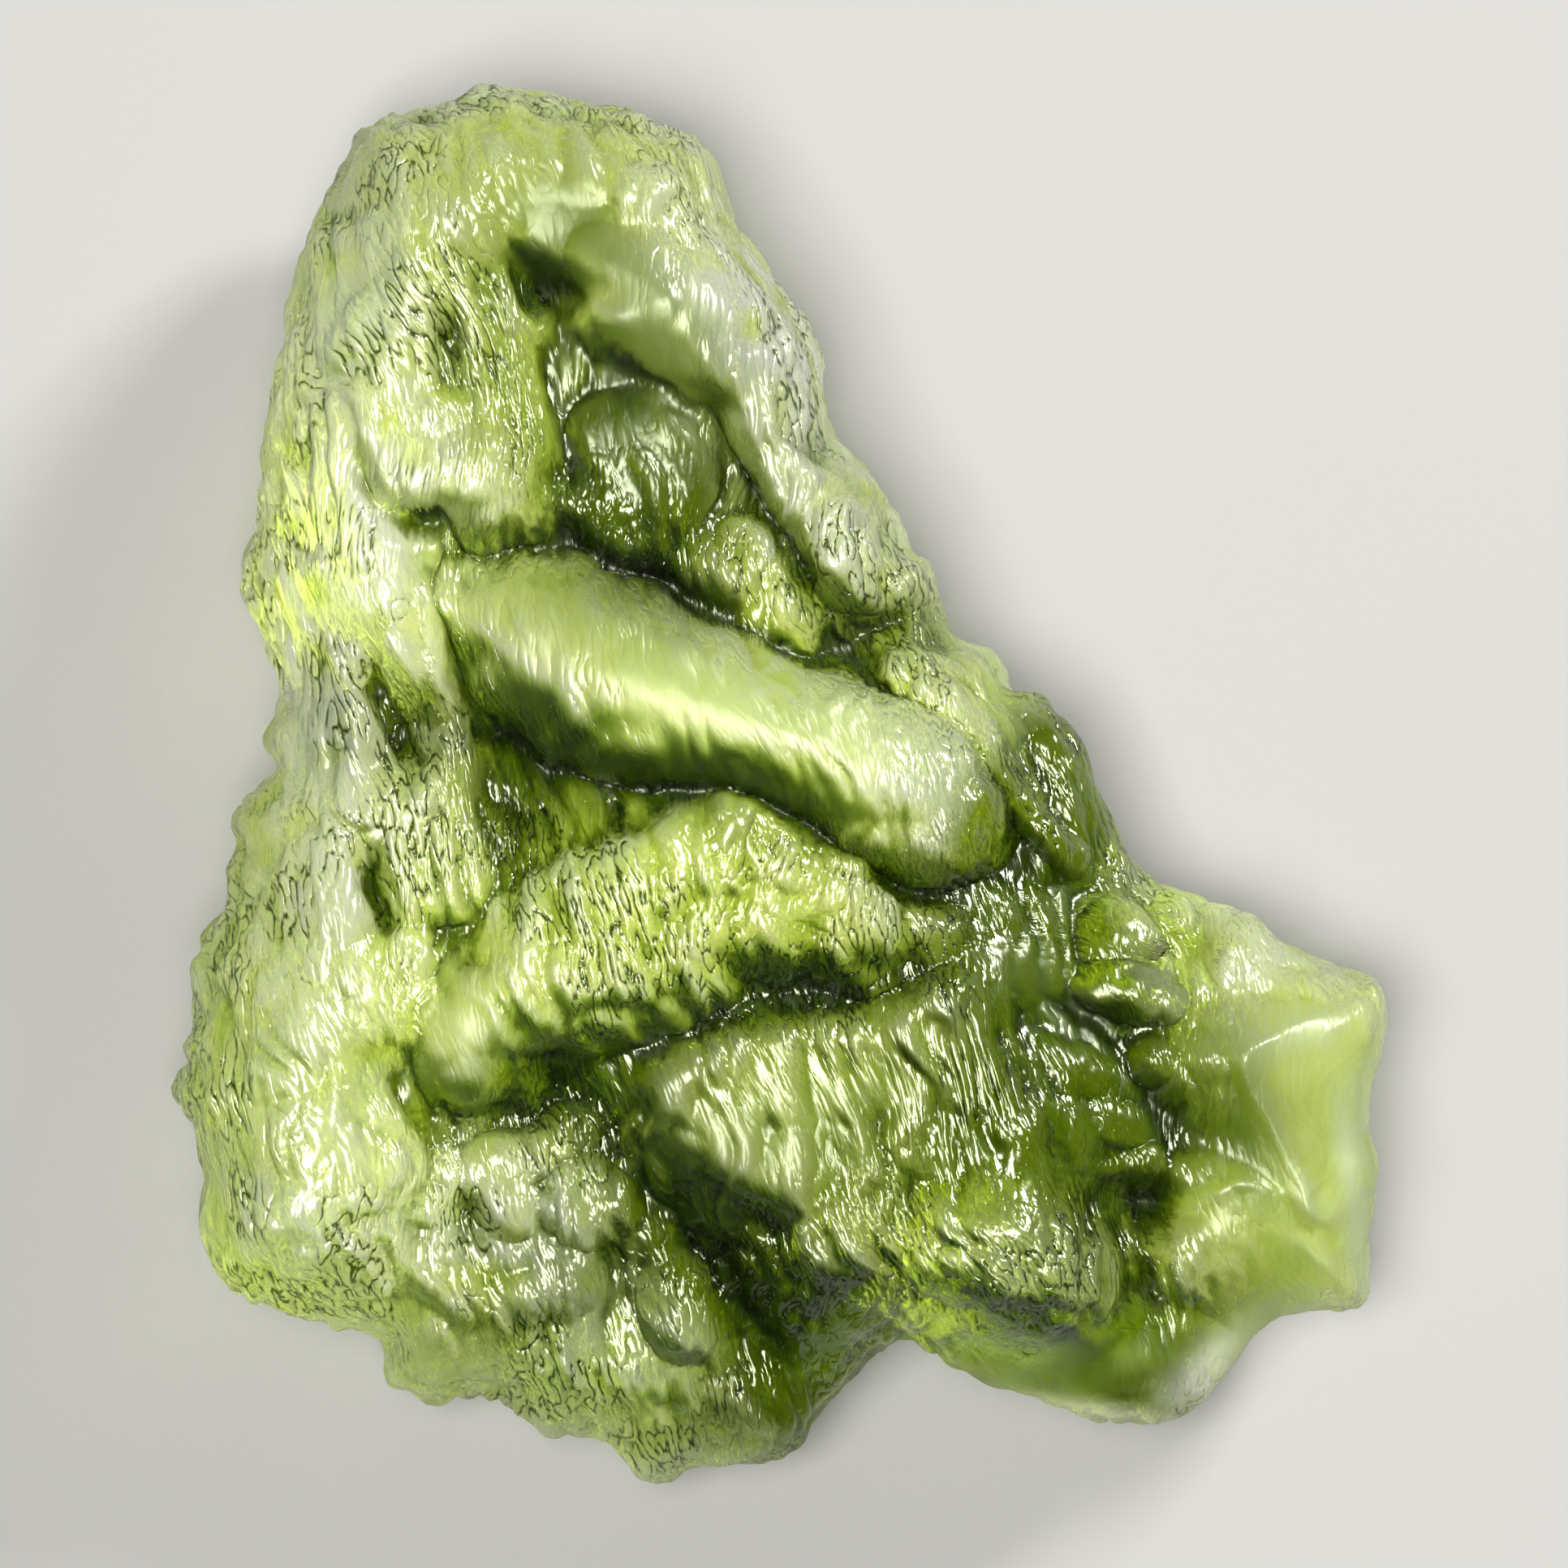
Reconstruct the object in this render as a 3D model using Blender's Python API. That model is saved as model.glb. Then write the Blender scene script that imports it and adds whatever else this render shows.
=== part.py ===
"""Moldavite: one natural lump of green tektite glass, lying on its back.

X is the photograph's right, Y its up and Z points out of it, so the sculpted
face looks up and the worn back lies on the surface at z = 0.

The stone is one closed shell. Its plan is the outline scaled towards one
point inside it, ring by ring. The height of the face is worked out from named
forms: rolls, slabs, lumps, swells and pits, joined with soft seams. The back
has its own swells and is worn flat where the stone rests.
"""
import bpy
import numpy as np

# Driving dimensions in millimetres, unless a comment says otherwise
PIXEL = 0.0175  # size on the stone of one pixel of the photograph
MIDDLE = (961.7, 969.8)  # the frame's origin, in pixels of the photograph
HEART = (820, 1130)  # the point that the rings shrink to, in pixels
FACE_RINGS = 30
BACK_RINGS = 15
FIRST_RING_SIDES = 8
EDGE_CROWDING = 0.5  # how much closer the rings lie at the edge, from 0 to 1
GROUND = 3.9  # height of the face between its forms
RIM_HEIGHT = 2.7  # height of the stone's edge line
RIM_ROUNDING = 2.4  # how far in from the edge the face is rounded
BACK_ROUNDING = 4.2
BACK_HEIGHT = 0.75  # height of the back away from its worn spots
BACK_WAVES = ((3.4, 0.45), (1.5, 0.16))  # wavelength, height
BEND = ((2.2, 0.25), (0.7, 0.08))  # wavelength and reach of the forms' wander
FLOW_ANGLE = -78.0  # degrees from +X of the glass's flow lines
CELL = (1.5, 0.85, 1.2)  # corroded cells: along the flow, across, deep
CELL_HEIGHT = 0.22
CREASE = (1.6, 0.5, 1.0)  # flow creases: along the flow, across, deep
CREASE_HEIGHT = 0.1
SWAY_LENGTH = 1.3  # the flow lines' own sway: its wavelength and its reach
SWAY_REACH = 0.5
MM = 0.001  # metres

# The outline from the top, clockwise, in pixels of the photograph
OUTLINE = (
    (610, 110), (700, 124), (768, 138), (806, 152), (850, 174), (872, 205), (890, 250), (920, 298),
    (955, 345), (985, 390), (1004, 435), (1008, 468), (1013, 503), (1027, 538), (1050, 566),
    (1080, 600), (1100, 640), (1118, 680), (1143, 698), (1155, 735), (1172, 770), (1190, 793),
    (1217, 806), (1230, 830), (1245, 850), (1282, 862), (1312, 888), (1337, 928), (1350, 965),
    (1370, 1010), (1386, 1052), (1402, 1077), (1421, 1088), (1449, 1100), (1476, 1109),
    (1508, 1121), (1545, 1135), (1575, 1162), (1618, 1180), (1664, 1196), (1697, 1210),
    (1713, 1248), (1708, 1290), (1694, 1335), (1690, 1390), (1702, 1440), (1693, 1500),
    (1688, 1550), (1688, 1598), (1665, 1615), (1620, 1618), (1565, 1632), (1525, 1678),
    (1482, 1725), (1455, 1752), (1400, 1753), (1330, 1742), (1270, 1722), (1215, 1705),
    (1160, 1670), (1110, 1650), (1078, 1667), (1035, 1715), (1000, 1757), (978, 1790),
    (930, 1803), (860, 1808), (805, 1827), (768, 1805), (728, 1776), (680, 1774), (648, 1755),
    (620, 1725), (590, 1714), (535, 1728), (482, 1706), (470, 1655), (430, 1635), (375, 1628),
    (330, 1610), (280, 1585), (253, 1530), (250, 1470), (243, 1400), (228, 1372), (217, 1345),
    (232, 1312), (228, 1290), (243, 1265), (243, 1215), (240, 1188), (262, 1150), (285, 1110),
    (285, 1070), (298, 1040), (293, 1005), (315, 975), (341, 945), (332, 910), (345, 870),
    (345, 840), (330, 800), (318, 760), (301, 725), (305, 680), (320, 620), (325, 560),
    (328, 510), (342, 440), (358, 380), (375, 300), (400, 255), (425, 200), (450, 165),
    (490, 147), (545, 132),
)

# Slabs: edge in pixels, height at the middle, rise per mm along X and Y,
# rounding of the shoulder, steepness of the sides
LEFT_FLANGE = (
    ((470, 120), (620, 90), (760, 110), (850, 160), (760, 215), (640, 225), (600, 300), (640, 365),
     (672, 440), (692, 520), (702, 590), (716, 655), (600, 664), (510, 700), (522, 745), (552, 830),
     (582, 885), (606, 930), (604, 980), (600, 1030), (620, 1100), (628, 1128), (545, 1135),
     (548, 1170), (522, 1215), (512, 1260), (500, 1320), (480, 1400), (470, 1500), (440, 1640),
     (200, 1640), (150, 1300), (220, 1100), (260, 900), (240, 700), (270, 500), (330, 250),
     (400, 150)),
    6.2, (-0.14, 0.03), 0.8, 2.2)
RIGHT_RIDGE = (
    ((735, 350), (745, 250), (790, 150), (870, 120), (950, 250), (1060, 450), (1130, 600),
     (1180, 700), (1120, 745), (1010, 745), (960, 660), (925, 600), (868, 515), (800, 470),
     (745, 440), (715, 395)),
    7.8, (0.06, -0.02), 2.6, 1.3)
LOWER_SLAB = (
    ((785, 1310), (850, 1275), (930, 1258), (1050, 1235), (1140, 1190), (1195, 1205), (1225, 1290),
     (1265, 1360), (1285, 1430), (1290, 1500), (1210, 1600), (1140, 1670), (1090, 1635),
     (1010, 1555), (930, 1485), (850, 1425), (790, 1360)),
    6.9, (0.04, 0.10), 0.7, 1.0)
SECOND_ROLL = (
    ((540, 1190), (600, 1150), (650, 1090), (700, 1045), (780, 1012), (850, 988), (905, 977),
     (960, 987), (1020, 1030), (1080, 1075), (1140, 1105), (1175, 1140), (1130, 1175),
     (1050, 1222), (950, 1243), (850, 1262), (760, 1285), (700, 1285), (630, 1310), (595, 1352),
     (545, 1310), (518, 1250)),
    6.9, (0.04, 0.30), 1.2, 2.4)
BROKEN_END = (
    ((1515, 1300), (1560, 1265), (1640, 1228), (1700, 1200), (1780, 1220), (1780, 1640),
     (1700, 1640), (1640, 1590), (1600, 1500), (1560, 1400)),
    5.4, (-0.42, 0.10), 0.15, 1.0)
BROKEN_FLANK = (
    ((1440, 1300), (1515, 1290), (1570, 1400), (1610, 1500), (1560, 1470), (1470, 1440)),
    5.6, (0.40, 0.15), 0.15, 1.2)
BROKEN_LEDGE = (
    ((1445, 1520), (1500, 1465), (1570, 1470), (1640, 1580), (1700, 1660), (1560, 1660),
     (1450, 1580)),
    5.3, (-0.05, 0.30), 0.15, 0.8)
BROKEN_PLATE = (
    ((1488, 1205), (1508, 1150), (1558, 1122), (1600, 1165), (1625, 1225), (1530, 1282)),
    5.7, (0.1, 0.45), 0.15, 1.5)

# Rolls: rows of a point in pixels, crest height, width to the left and to the
# right of travel; then how far the rounding falls and the steepness below it
LEFT_CREST = (
    ((560, 165, 6.4, 2.0, 2.2), (470, 330, 7.0, 2.2, 1.8), (430, 520, 7.4, 2.2, 1.5),
     (425, 700, 7.4, 2.2, 1.6), (430, 850, 6.9, 2.2, 1.6), (420, 1000, 6.6, 2.2, 1.8),
     (380, 1180, 6.9, 2.2, 2.4), (360, 1350, 7.0, 2.2, 2.2), (350, 1480, 6.8, 2.2, 1.8)),
    1.5, 0.5)
TOP_RIM = (
    ((500, 190, 6.0, 1.6, 1.2), (600, 160, 6.4, 1.6, 1.5), (700, 165, 6.5, 1.6, 1.5),
     (800, 195, 7.0, 1.6, 1.2)),
    1.0, 0.8)
RIM_FLANGE = (
    ((1210, 815, 4.6, 0.4, 0.5), (1260, 870, 4.5, 0.3, 0.9), (1320, 935, 4.4, 0.3, 0.9),
     (1365, 1030, 4.3, 0.3, 0.8), (1410, 1095, 4.4, 0.3, 0.7)),
    0.3, 1.0)
KNOB_RIDGE = (
    ((1122, 822, 6.6, 0.5, 0.6), (1160, 862, 6.9, 0.5, 0.7), (1205, 930, 6.3, 0.35, 0.5),
     (1265, 1000, 5.6, 0.3, 0.4), (1320, 1050, 5.2, 0.3, 0.4)),
    0.8, 1.4)
SECOND_CREST = (
    ((575, 1245, 6.9, 0.9, 1.0), (640, 1165, 7.3, 0.9, 1.2), (740, 1085, 7.8, 0.9, 1.4),
     (850, 1027, 8.2, 0.7, 1.4), (905, 1007, 8.3, 0.5, 1.4), (1000, 1055, 8.1, 0.6, 1.2),
     (1090, 1108, 7.7, 0.6, 1.0), (1150, 1140, 7.2, 0.6, 0.8)),
    0.8, 0.7)
MIDDLE_ROLL = (
    ((575, 742, 7.2, 1.3, 1.1), (650, 785, 7.9, 2.0, 1.7), (760, 830, 8.5, 1.95, 2.0),
     (880, 870, 8.8, 1.7, 1.9), (1000, 915, 8.9, 1.6, 1.65), (1100, 965, 8.8, 1.75, 1.75),
     (1140, 1000, 8.5, 1.5, 1.5)),
    2.0, 3.0)

# Lumps: middle in pixels, half length, half width, crest height, turn in degrees
VALLEY_LUMPS = (
    (785, 592, 1.6, 2.0, 6.4, -20), (722, 470, 1.2, 1.0, 5.7, 0), (918, 722, 0.8, 1.5, 6.4, 28),
    (862, 690, 0.5, 1.5, 6.2, 22), (975, 768, 0.6, 0.9, 6.2, 25),
    (808, 392, 2.4, 1.0, 7.5, -52), (698, 252, 2.5, 2.1, 6.6, 0))
SCALES = (
    (590, 268, 1.0, 0.9, 6.9, 0), (630, 400, 1.1, 0.9, 6.8, 0), (600, 480, 1.1, 0.9, 6.8, 0),
    (570, 580, 1.5, 1.4, 7.5, 0), (510, 420, 0.8, 1.3, 7.1, 0), (560, 1030, 0.9, 1.7, 6.4, 10),
    (490, 1210, 1.1, 1.2, 6.9, 0), (450, 1400, 1.1, 1.3, 6.9, 0), (520, 800, 0.8, 1.7, 6.9, 15))
GAP_LUMPS = (
    (645, 985, 0.6, 0.95, 5.2, 0), (715, 1005, 0.45, 0.45, 5.6, 0))
SLAB_DOME = (
    (1228, 1535, 2.05, 1.9, 7.8, -20),)
SECOND_BULGE = (
    (800, 1150, 4.4, 1.9, 8.0, 25), (985, 1125, 3.0, 1.5, 7.8, -12), (590, 1270, 1.3, 1.5, 7.3, 0))
RIGHT_LUMPS = (
    (1375, 1150, 0.7, 0.8, 5.5, -15), (1385, 1218, 1.05, 0.6, 5.8, -15),
    (1290, 1300, 1.0, 0.6, 5.8, -15), (1330, 1375, 1.4, 0.6, 5.6, -15),
    (1415, 1300, 0.7, 0.6, 5.5, -15), (1400, 1440, 0.8, 0.6, 5.3, 0),
    (1260, 1040, 0.7, 0.8, 4.7, 0), (1440, 1118, 0.4, 0.4, 4.9, 0))
FOOT_LOBES = (
    (735, 1475, 0.95, 0.9, 5.9, 0), (640, 1450, 1.0, 1.2, 5.6, 20), (555, 1450, 1.1, 0.9, 5.5, 0),
    (700, 1560, 0.8, 1.3, 5.5, 0), (800, 1515, 0.5, 0.7, 5.1, 0), (835, 1600, 0.8, 1.4, 5.4, 10),
    (640, 1575, 0.7, 1.6, 5.3, 0), (720, 1690, 1.0, 1.1, 4.9, 0), (800, 1700, 0.8, 0.9, 4.8, 0),
    (560, 1580, 0.9, 1.7, 5.1, 0), (480, 1520, 1.3, 1.5, 5.4, 0), (930, 1730, 1.4, 1.1, 4.2, 0),
    (700, 1405, 0.7, 0.8, 5.6, 0), (600, 1670, 1.0, 1.0, 4.7, 0))
LUMP_FALL = 0.9  # how far a lump's rounding falls
SCALE_FALL = 0.55
DOME_FALL = 1.7
LUMP_STEEPNESS = 1.5

# Swells and pits: middle in pixels, half length, half width, height, turn
SWELLS = (
    (620, 250, 3.5, 2.6, 1.9, 0), (870, 640, 5.0, 2.4, 1.5, -47), (705, 1330, 2.0, 0.9, -1.6, -5), (930, 1560, 3.6, 1.1, -1.0, -45),
    (680, 960, 1.5, 1.8, -1.0, 10), (1260, 1180, 1.6, 3.4, -0.4, 0), (560, 1600, 4.5, 3.0, 0.9, 0),
    (1400, 1660, 3.4, 1.6, 0.7, 0), (1560, 1400, 2.8, 3.8, 0.8, 0))
PITS = (
    (500, 905, 1.0, 0.8, -1.4, 40), (470, 850, 0.45, 0.8, -1.0, 0), (470, 1080, 0.45, 0.95, -1.1, 15),
    (465, 600, 0.3, 0.8, -0.5, 15), (530, 645, 0.8, 0.5, -0.9, 0), (945, 420, 0.5, 0.3, -0.45, 30),
    (1010, 548, 0.6, 0.5, -0.9, 0), (675, 362, 0.9, 0.7, -0.8, 0), (1420, 1490, 1.2, 0.6, -1.0, 0),
    (620, 900, 0.5, 0.3, -1.2, -20), (762, 1000, 0.2, 0.3, -1.0, 0))
ROUNDING_SPOTS = (
    (330, 750, 2.8, 11.0, 1.6, 0), (1330, 950, 2.0, 3.5, -1.6, -40), (1690, 1420, 2.0, 4.5, -1.5, 0),
    (1400, 1740, 4.0, 1.2, -1.4, 0))
RIM_SWELLS = (
    (1330, 950, 3.0, 4.0, 1.1, -40), (600, 110, 4.0, 3.0, 0.6, 0), (300, 900, 3.0, 6.0, 0.5, 0),
    (600, 1760, 6.0, 2.5, -0.5, 0), (1400, 1740, 4.0, 2.0, 0.3, 0))
BACK_SWELLS = (
    (1330, 950, 2.6, 4.2, 2.2, -40), (1420, 1710, 3.6, 1.8, 1.3, 0), (620, 1740, 4.5, 1.8, 0.9, 0),
    (1690, 1250, 1.8, 2.4, 1.2, 0), (600, 140, 3.2, 2.0, 0.8, 0), (960, 400, 1.6, 3.0, 0.7, -30))
# The worn spots that the stone rests on; the first is the largest
WORN_SPOTS = (
    (800, 980, 3.6, 2.6, -2.9, 20), (560, 430, 2.2, 2.6, -2.4, 0), (430, 1340, 2.4, 2.6, -2.4, 0),
    (1290, 1400, 2.6, 2.2, -2.4, 0), (820, 1560, 1.8, 1.6, -2.0, 0))
# Places where the glass is smooth, as strength from 0 to 1
SMOOTH_SPOTS = (
    (850, 860, 5.6, 1.9, 1.2, -22), (1600, 1420, 2.8, 5.0, 1.2, 0), (690, 270, 1.4, 1.2, 1.0, 0),
    (570, 1260, 1.0, 1.4, 1.0, 0), (1330, 1680, 3.5, 1.0, 1.0, 10), (790, 400, 1.4, 2.2, 1.0, 50))
SMOOTHING = 0.85

# Soft seams between the forms
BROAD_SEAM = 0.6
WIDE_SEAM = 0.3
SEAM = 0.2
SHARP_SEAM = 0.08

GLASS_COLOUR = (0.42, 0.52, 0.10, 1.0)  # linear
GLASS_ROUGHNESS = 0.12
GLASS_IOR = 1.49


def place(rows):
    """Rows that start with a point in pixels, with that point in millimetres."""
    rows = np.array(rows, dtype=float)
    rows[:, 0] = (rows[:, 0] - MIDDLE[0]) * PIXEL
    rows[:, 1] = (MIDDLE[1] - rows[:, 1]) * PIXEL
    return rows


def smooth_line(rows, steps, closed):
    """A Catmull-Rom curve through the rows, with every column carried along."""
    points = place(rows)
    if closed:
        before, start, end, after = (np.roll(points, shift, axis=0) for shift in (1, 0, -1, -2))
    else:
        points = np.vstack([2 * points[0] - points[1], points, 2 * points[-1] - points[-2]])
        before, start, end, after = points[:-3], points[1:-2], points[2:-1], points[3:]
    t = (np.arange(steps) / steps)[None, :, None]
    before, start, end, after = (part[:, None, :] for part in (before, start, end, after))
    line = 0.5 * (2 * start + (end - before) * t + (2 * before - 5 * start + 4 * end - after) * t**2
                  + (3 * start - before - 3 * end + after) * t**3)
    line = line.reshape(-1, points.shape[1])
    last = line[:1] if closed else points[-2:-1]
    return np.vstack([line, last])


def nearest(x, y, line):
    """Distance to a line, the side of it from -1 to 1, and the line's other columns there."""
    best = np.full(x.shape, 1e9)
    side = np.zeros(x.shape)
    carried = np.zeros(x.shape + (line.shape[1] - 2,))
    for start, end in zip(line[:-1], line[1:]):
        run = end - start
        length = np.hypot(run[0], run[1]) + 1e-9
        t = np.clip(((x - start[0]) * run[0] + (y - start[1]) * run[1]) / length**2, 0, 1)
        away_x = x - start[0] - t * run[0]
        away_y = y - start[1] - t * run[1]
        distance = np.hypot(away_x, away_y)
        closer = distance < best
        best = np.where(closer, distance, best)
        turn = (run[0] * away_y - run[1] * away_x) / length / (distance + 1e-6)
        side = np.where(closer, turn, side)
        if carried.shape[-1]:
            carried = np.where(closer[..., None], start[2:] + t[..., None] * run[2:], carried)
    return best, side, carried


def inside(x, y, ring):
    """Whether each point lies inside a closed line."""
    odd = np.zeros(x.shape, dtype=bool)
    for start, end in zip(ring[:-1], ring[1:]):
        crosses = (start[1] > y) != (end[1] > y)
        slope = (end[0] - start[0]) / (end[1] - start[1] + 1e-12)
        odd ^= crosses & (x < start[0] + (y - start[1]) * slope)
    return odd


def rounding(share):
    """A quarter circle's fall, from 0 at share 0 to 1 at share 1."""
    return 1 - np.sqrt(1 - np.clip(share, 0, 1) ** 2 * 0.9999)


def join(low, high, seam):
    """The higher of two surfaces, with a soft seam of the given width."""
    return 0.5 * (low + high + np.sqrt((low - high) ** 2 + seam**2))


def roll(x, y, form):
    """A bar with a round back along a smooth line, narrower and lower where its rows say."""
    rows, fall, steepness = form
    distance, side, carried = nearest(x, y, smooth_line(rows, 6, closed=False))
    crest, left, right = carried[..., 0], carried[..., 1], carried[..., 2]
    width = right + (left - right) * (0.5 + 0.5 * side)
    return crest - rounding(distance / width) * fall - np.maximum(distance - width, 0) * steepness


def slab(x, y, form):
    """A sloping plane inside a smooth closed line, with a round shoulder and steep sides."""
    rows, top, rise, shoulder, steepness = form
    ring = smooth_line(rows, 5, closed=True)
    distance = nearest(x, y, ring)[0]
    out = np.where(inside(x, y, ring), -distance, distance)
    middle = ring[:-1].mean(axis=0)
    plane = top + (x - middle[0]) * rise[0] + (y - middle[1]) * rise[1]
    fall = rounding((out + shoulder) / shoulder) * shoulder
    return plane - fall - np.maximum(out, 0) * steepness


def ellipse(x, y, middle, half_length, half_width, turn):
    """Squared distance from an ellipse's middle, 1 on its edge."""
    cosine, sine = np.cos(np.radians(turn)), np.sin(np.radians(turn))
    along = ((x - middle[0]) * cosine + (y - middle[1]) * sine) / half_length
    across = ((y - middle[1]) * cosine - (x - middle[0]) * sine) / half_width
    return along**2 + across**2


def add_lumps(z, x, y, rows, fall, seam):
    """The surface with each row's lump joined to it."""
    for px, py, half_length, half_width, crest, turn in place(rows):
        share = np.sqrt(ellipse(x, y, (px, py), half_length, half_width, turn))
        beyond = np.maximum(share - 1, 0) * min(half_length, half_width)
        z = join(z, crest - rounding(share) * fall - beyond * LUMP_STEEPNESS, seam)
    return z


def spots(x, y, rows):
    """The sum of the rows' bell-shaped swells, each with its height at its middle."""
    total = np.zeros(x.shape)
    for px, py, half_length, half_width, height, turn in place(rows):
        total += height * np.exp(-1.2 * ellipse(x, y, (px, py), half_length, half_width, turn))
    return total


def scramble(i, j, k, seed):
    """A fixed number from 0 to 1 for each whole-number cell."""
    mixed = (i * 73856093) ^ (j * 19349663) ^ (k * 83492791) ^ (seed * 2654435761)
    mixed = (mixed ^ (mixed >> 13)) * 1274126177
    return ((mixed ^ (mixed >> 16)) & 0xFFFFFF) / float(0xFFFFFF)


def noise(points, seed):
    """Smooth value noise from -1 to 1, one wave per unit."""
    cell = np.floor(points).astype(np.int64)
    part = points - cell
    part = part**3 * (part * (part * 6 - 15) + 10)
    total = 0
    for corner in np.ndindex(2, 2, 2):
        weight = np.prod(np.where(np.array(corner), part, 1 - part), axis=-1)
        total = total + weight * scramble(*(cell + np.array(corner)).T, seed)
    return total * 2 - 1


def cells(points, seed):
    """Distance from the nearest of scattered seats, 0 on a seat."""
    home = np.floor(points).astype(np.int64)
    first = np.full(len(points), 9.0)
    for step in np.ndindex(3, 3, 3):
        cell = home + np.array(step) - 1
        seat = cell + np.stack([scramble(*cell.T, seed + axis) for axis in range(3)], axis=-1)
        first = np.minimum(first, np.linalg.norm(points - seat, axis=-1))
    return first


def wander(x, y):
    """The plan bent by slow noise, so that no form has a ruled edge."""
    bent_x, bent_y = x, y
    for seed, (wavelength, reach) in enumerate(BEND):
        points = np.stack([x / wavelength, y / wavelength, np.zeros_like(x)], axis=-1)
        bent_x = bent_x + reach * noise(points, 5 + 2 * seed)
        bent_y = bent_y + reach * noise(points, 6 + 2 * seed)
    return bent_x, bent_y


def face_forms(x, y):
    """Height of the sculpted face, before its edge is rounded."""
    z = GROUND + spots(x, y, SWELLS)
    z = join(z, slab(x, y, LEFT_FLANGE), BROAD_SEAM)
    z = join(z, slab(x, y, RIGHT_RIDGE), WIDE_SEAM)
    z = join(z, slab(x, y, LOWER_SLAB), WIDE_SEAM)
    z = join(z, roll(x, y, LEFT_CREST), BROAD_SEAM)
    z = join(z, roll(x, y, TOP_RIM), BROAD_SEAM)
    z = join(z, roll(x, y, RIM_FLANGE), SEAM)
    z = join(z, roll(x, y, KNOB_RIDGE), SEAM)
    z = add_lumps(z, x, y, VALLEY_LUMPS + GAP_LUMPS + RIGHT_LUMPS + FOOT_LOBES, LUMP_FALL, BROAD_SEAM)
    z = add_lumps(z, x, y, SCALES, SCALE_FALL, BROAD_SEAM)
    z = add_lumps(z, x, y, SLAB_DOME, DOME_FALL, BROAD_SEAM)
    for form in (BROKEN_END, BROKEN_FLANK, BROKEN_LEDGE, BROKEN_PLATE):
        z = join(z, slab(x, y, form), SHARP_SEAM)
    z = join(z, slab(x, y, SECOND_ROLL), SEAM)
    z = add_lumps(z, x, y, SECOND_BULGE, DOME_FALL, BROAD_SEAM)
    z = join(z, roll(x, y, SECOND_CREST), BROAD_SEAM)
    z = join(z, roll(x, y, MIDDLE_ROLL), SEAM)
    return z + spots(x, y, PITS)


def back_forms(x, y):
    """Height of the back, below zero at the worn spots, before its edge is rounded."""
    z = BACK_HEIGHT + spots(x, y, BACK_SWELLS) + spots(x, y, WORN_SPOTS)
    for seed, (wavelength, height) in enumerate(BACK_WAVES):
        points = np.stack([x / wavelength, y / wavelength, np.zeros_like(x)], axis=-1)
        z = z + height * noise(points, 40 + seed)
    return z


def edge_distance(x, y, ring):
    """How far inside the outline each point lies."""
    return np.where(inside(x, y, ring), nearest(x, y, ring)[0], 0.0)


def rounded_edge(x, y, forms, ring, width):
    """Forms that curve over to the rim's height at the outline."""
    rim = RIM_HEIGHT + spots(x, y, RIM_SWELLS)
    share = 1 - np.clip(edge_distance(x, y, ring) / width, 0, 1)
    return rim + (forms - rim) * np.sqrt(1 - share**2)


def ring_plan(outline, rings, reach):
    """Plan points of a middle point and rings that grow to the outline times reach.

    Ring k has FIRST_RING_SIDES times k points, evenly spaced along the outline.
    """
    heart = place([HEART])[0]
    along = np.concatenate([[0], np.cumsum(np.hypot(*np.diff(outline, axis=0).T))])
    plan = [heart[None, :]]
    for k in range(1, rings + 1):
        count = FIRST_RING_SIDES * k
        at = np.arange(count) / count * along[-1]
        edge = np.stack([np.interp(at, along, outline[:, axis]) for axis in (0, 1)], axis=-1)
        share = k / rings * reach
        scale = (1 - EDGE_CROWDING) * share + EDGE_CROWDING * np.sin(np.pi / 2 * share)
        plan.append(heart + scale * (edge - heart))
    return np.vstack(plan)


def ring_start(k):
    """Index of the first point of ring k, where ring 0 is the middle point."""
    return 0 if k == 0 else 1 + FIRST_RING_SIDES * k * (k - 1) // 2


def ring_faces(rings):
    """Triangles between neighbouring clockwise rings, anticlockwise seen from above."""
    faces = []
    for k in range(1, rings + 1):
        outer, inner = ring_start(k), ring_start(k - 1)
        outer_count = FIRST_RING_SIDES * k
        inner_count = max(FIRST_RING_SIDES * (k - 1), 1)
        sector, step = np.divmod(np.arange(outer_count), k)
        a = outer + np.arange(outer_count)
        b = outer + (np.arange(outer_count) + 1) % outer_count
        c = inner + (sector * (k - 1) + step) % inner_count
        faces.append(np.stack([b, a, c], axis=-1))
        within = step < k - 1
        d = inner + (sector * (k - 1) + step + 1) % inner_count
        faces.append(np.stack([d[within], b[within], c[within]], axis=-1))
    return np.vstack(faces)


def seam_faces(fine, coarse):
    """Triangles from a ring of points to one with half as many, both in the same order."""
    half = len(coarse)
    this, after = np.arange(half), (np.arange(half) + 1) % half
    left, mid, right = fine[2 * this], fine[2 * this + 1], fine[2 * after]
    return np.vstack([
        np.stack([left, mid, coarse[this]], axis=-1),
        np.stack([mid, coarse[after], coarse[this]], axis=-1),
        np.stack([mid, right, coarse[after]], axis=-1)])


def vertex_normals(points, faces):
    """Unit normals, each the sum of its faces' areas."""
    corners = points[faces]
    area = np.cross(corners[:, 1] - corners[:, 0], corners[:, 2] - corners[:, 0])
    total = np.zeros_like(points)
    for corner in range(3):
        np.add.at(total, faces[:, corner], area)
    return total / np.linalg.norm(total, axis=1, keepdims=True)


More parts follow.
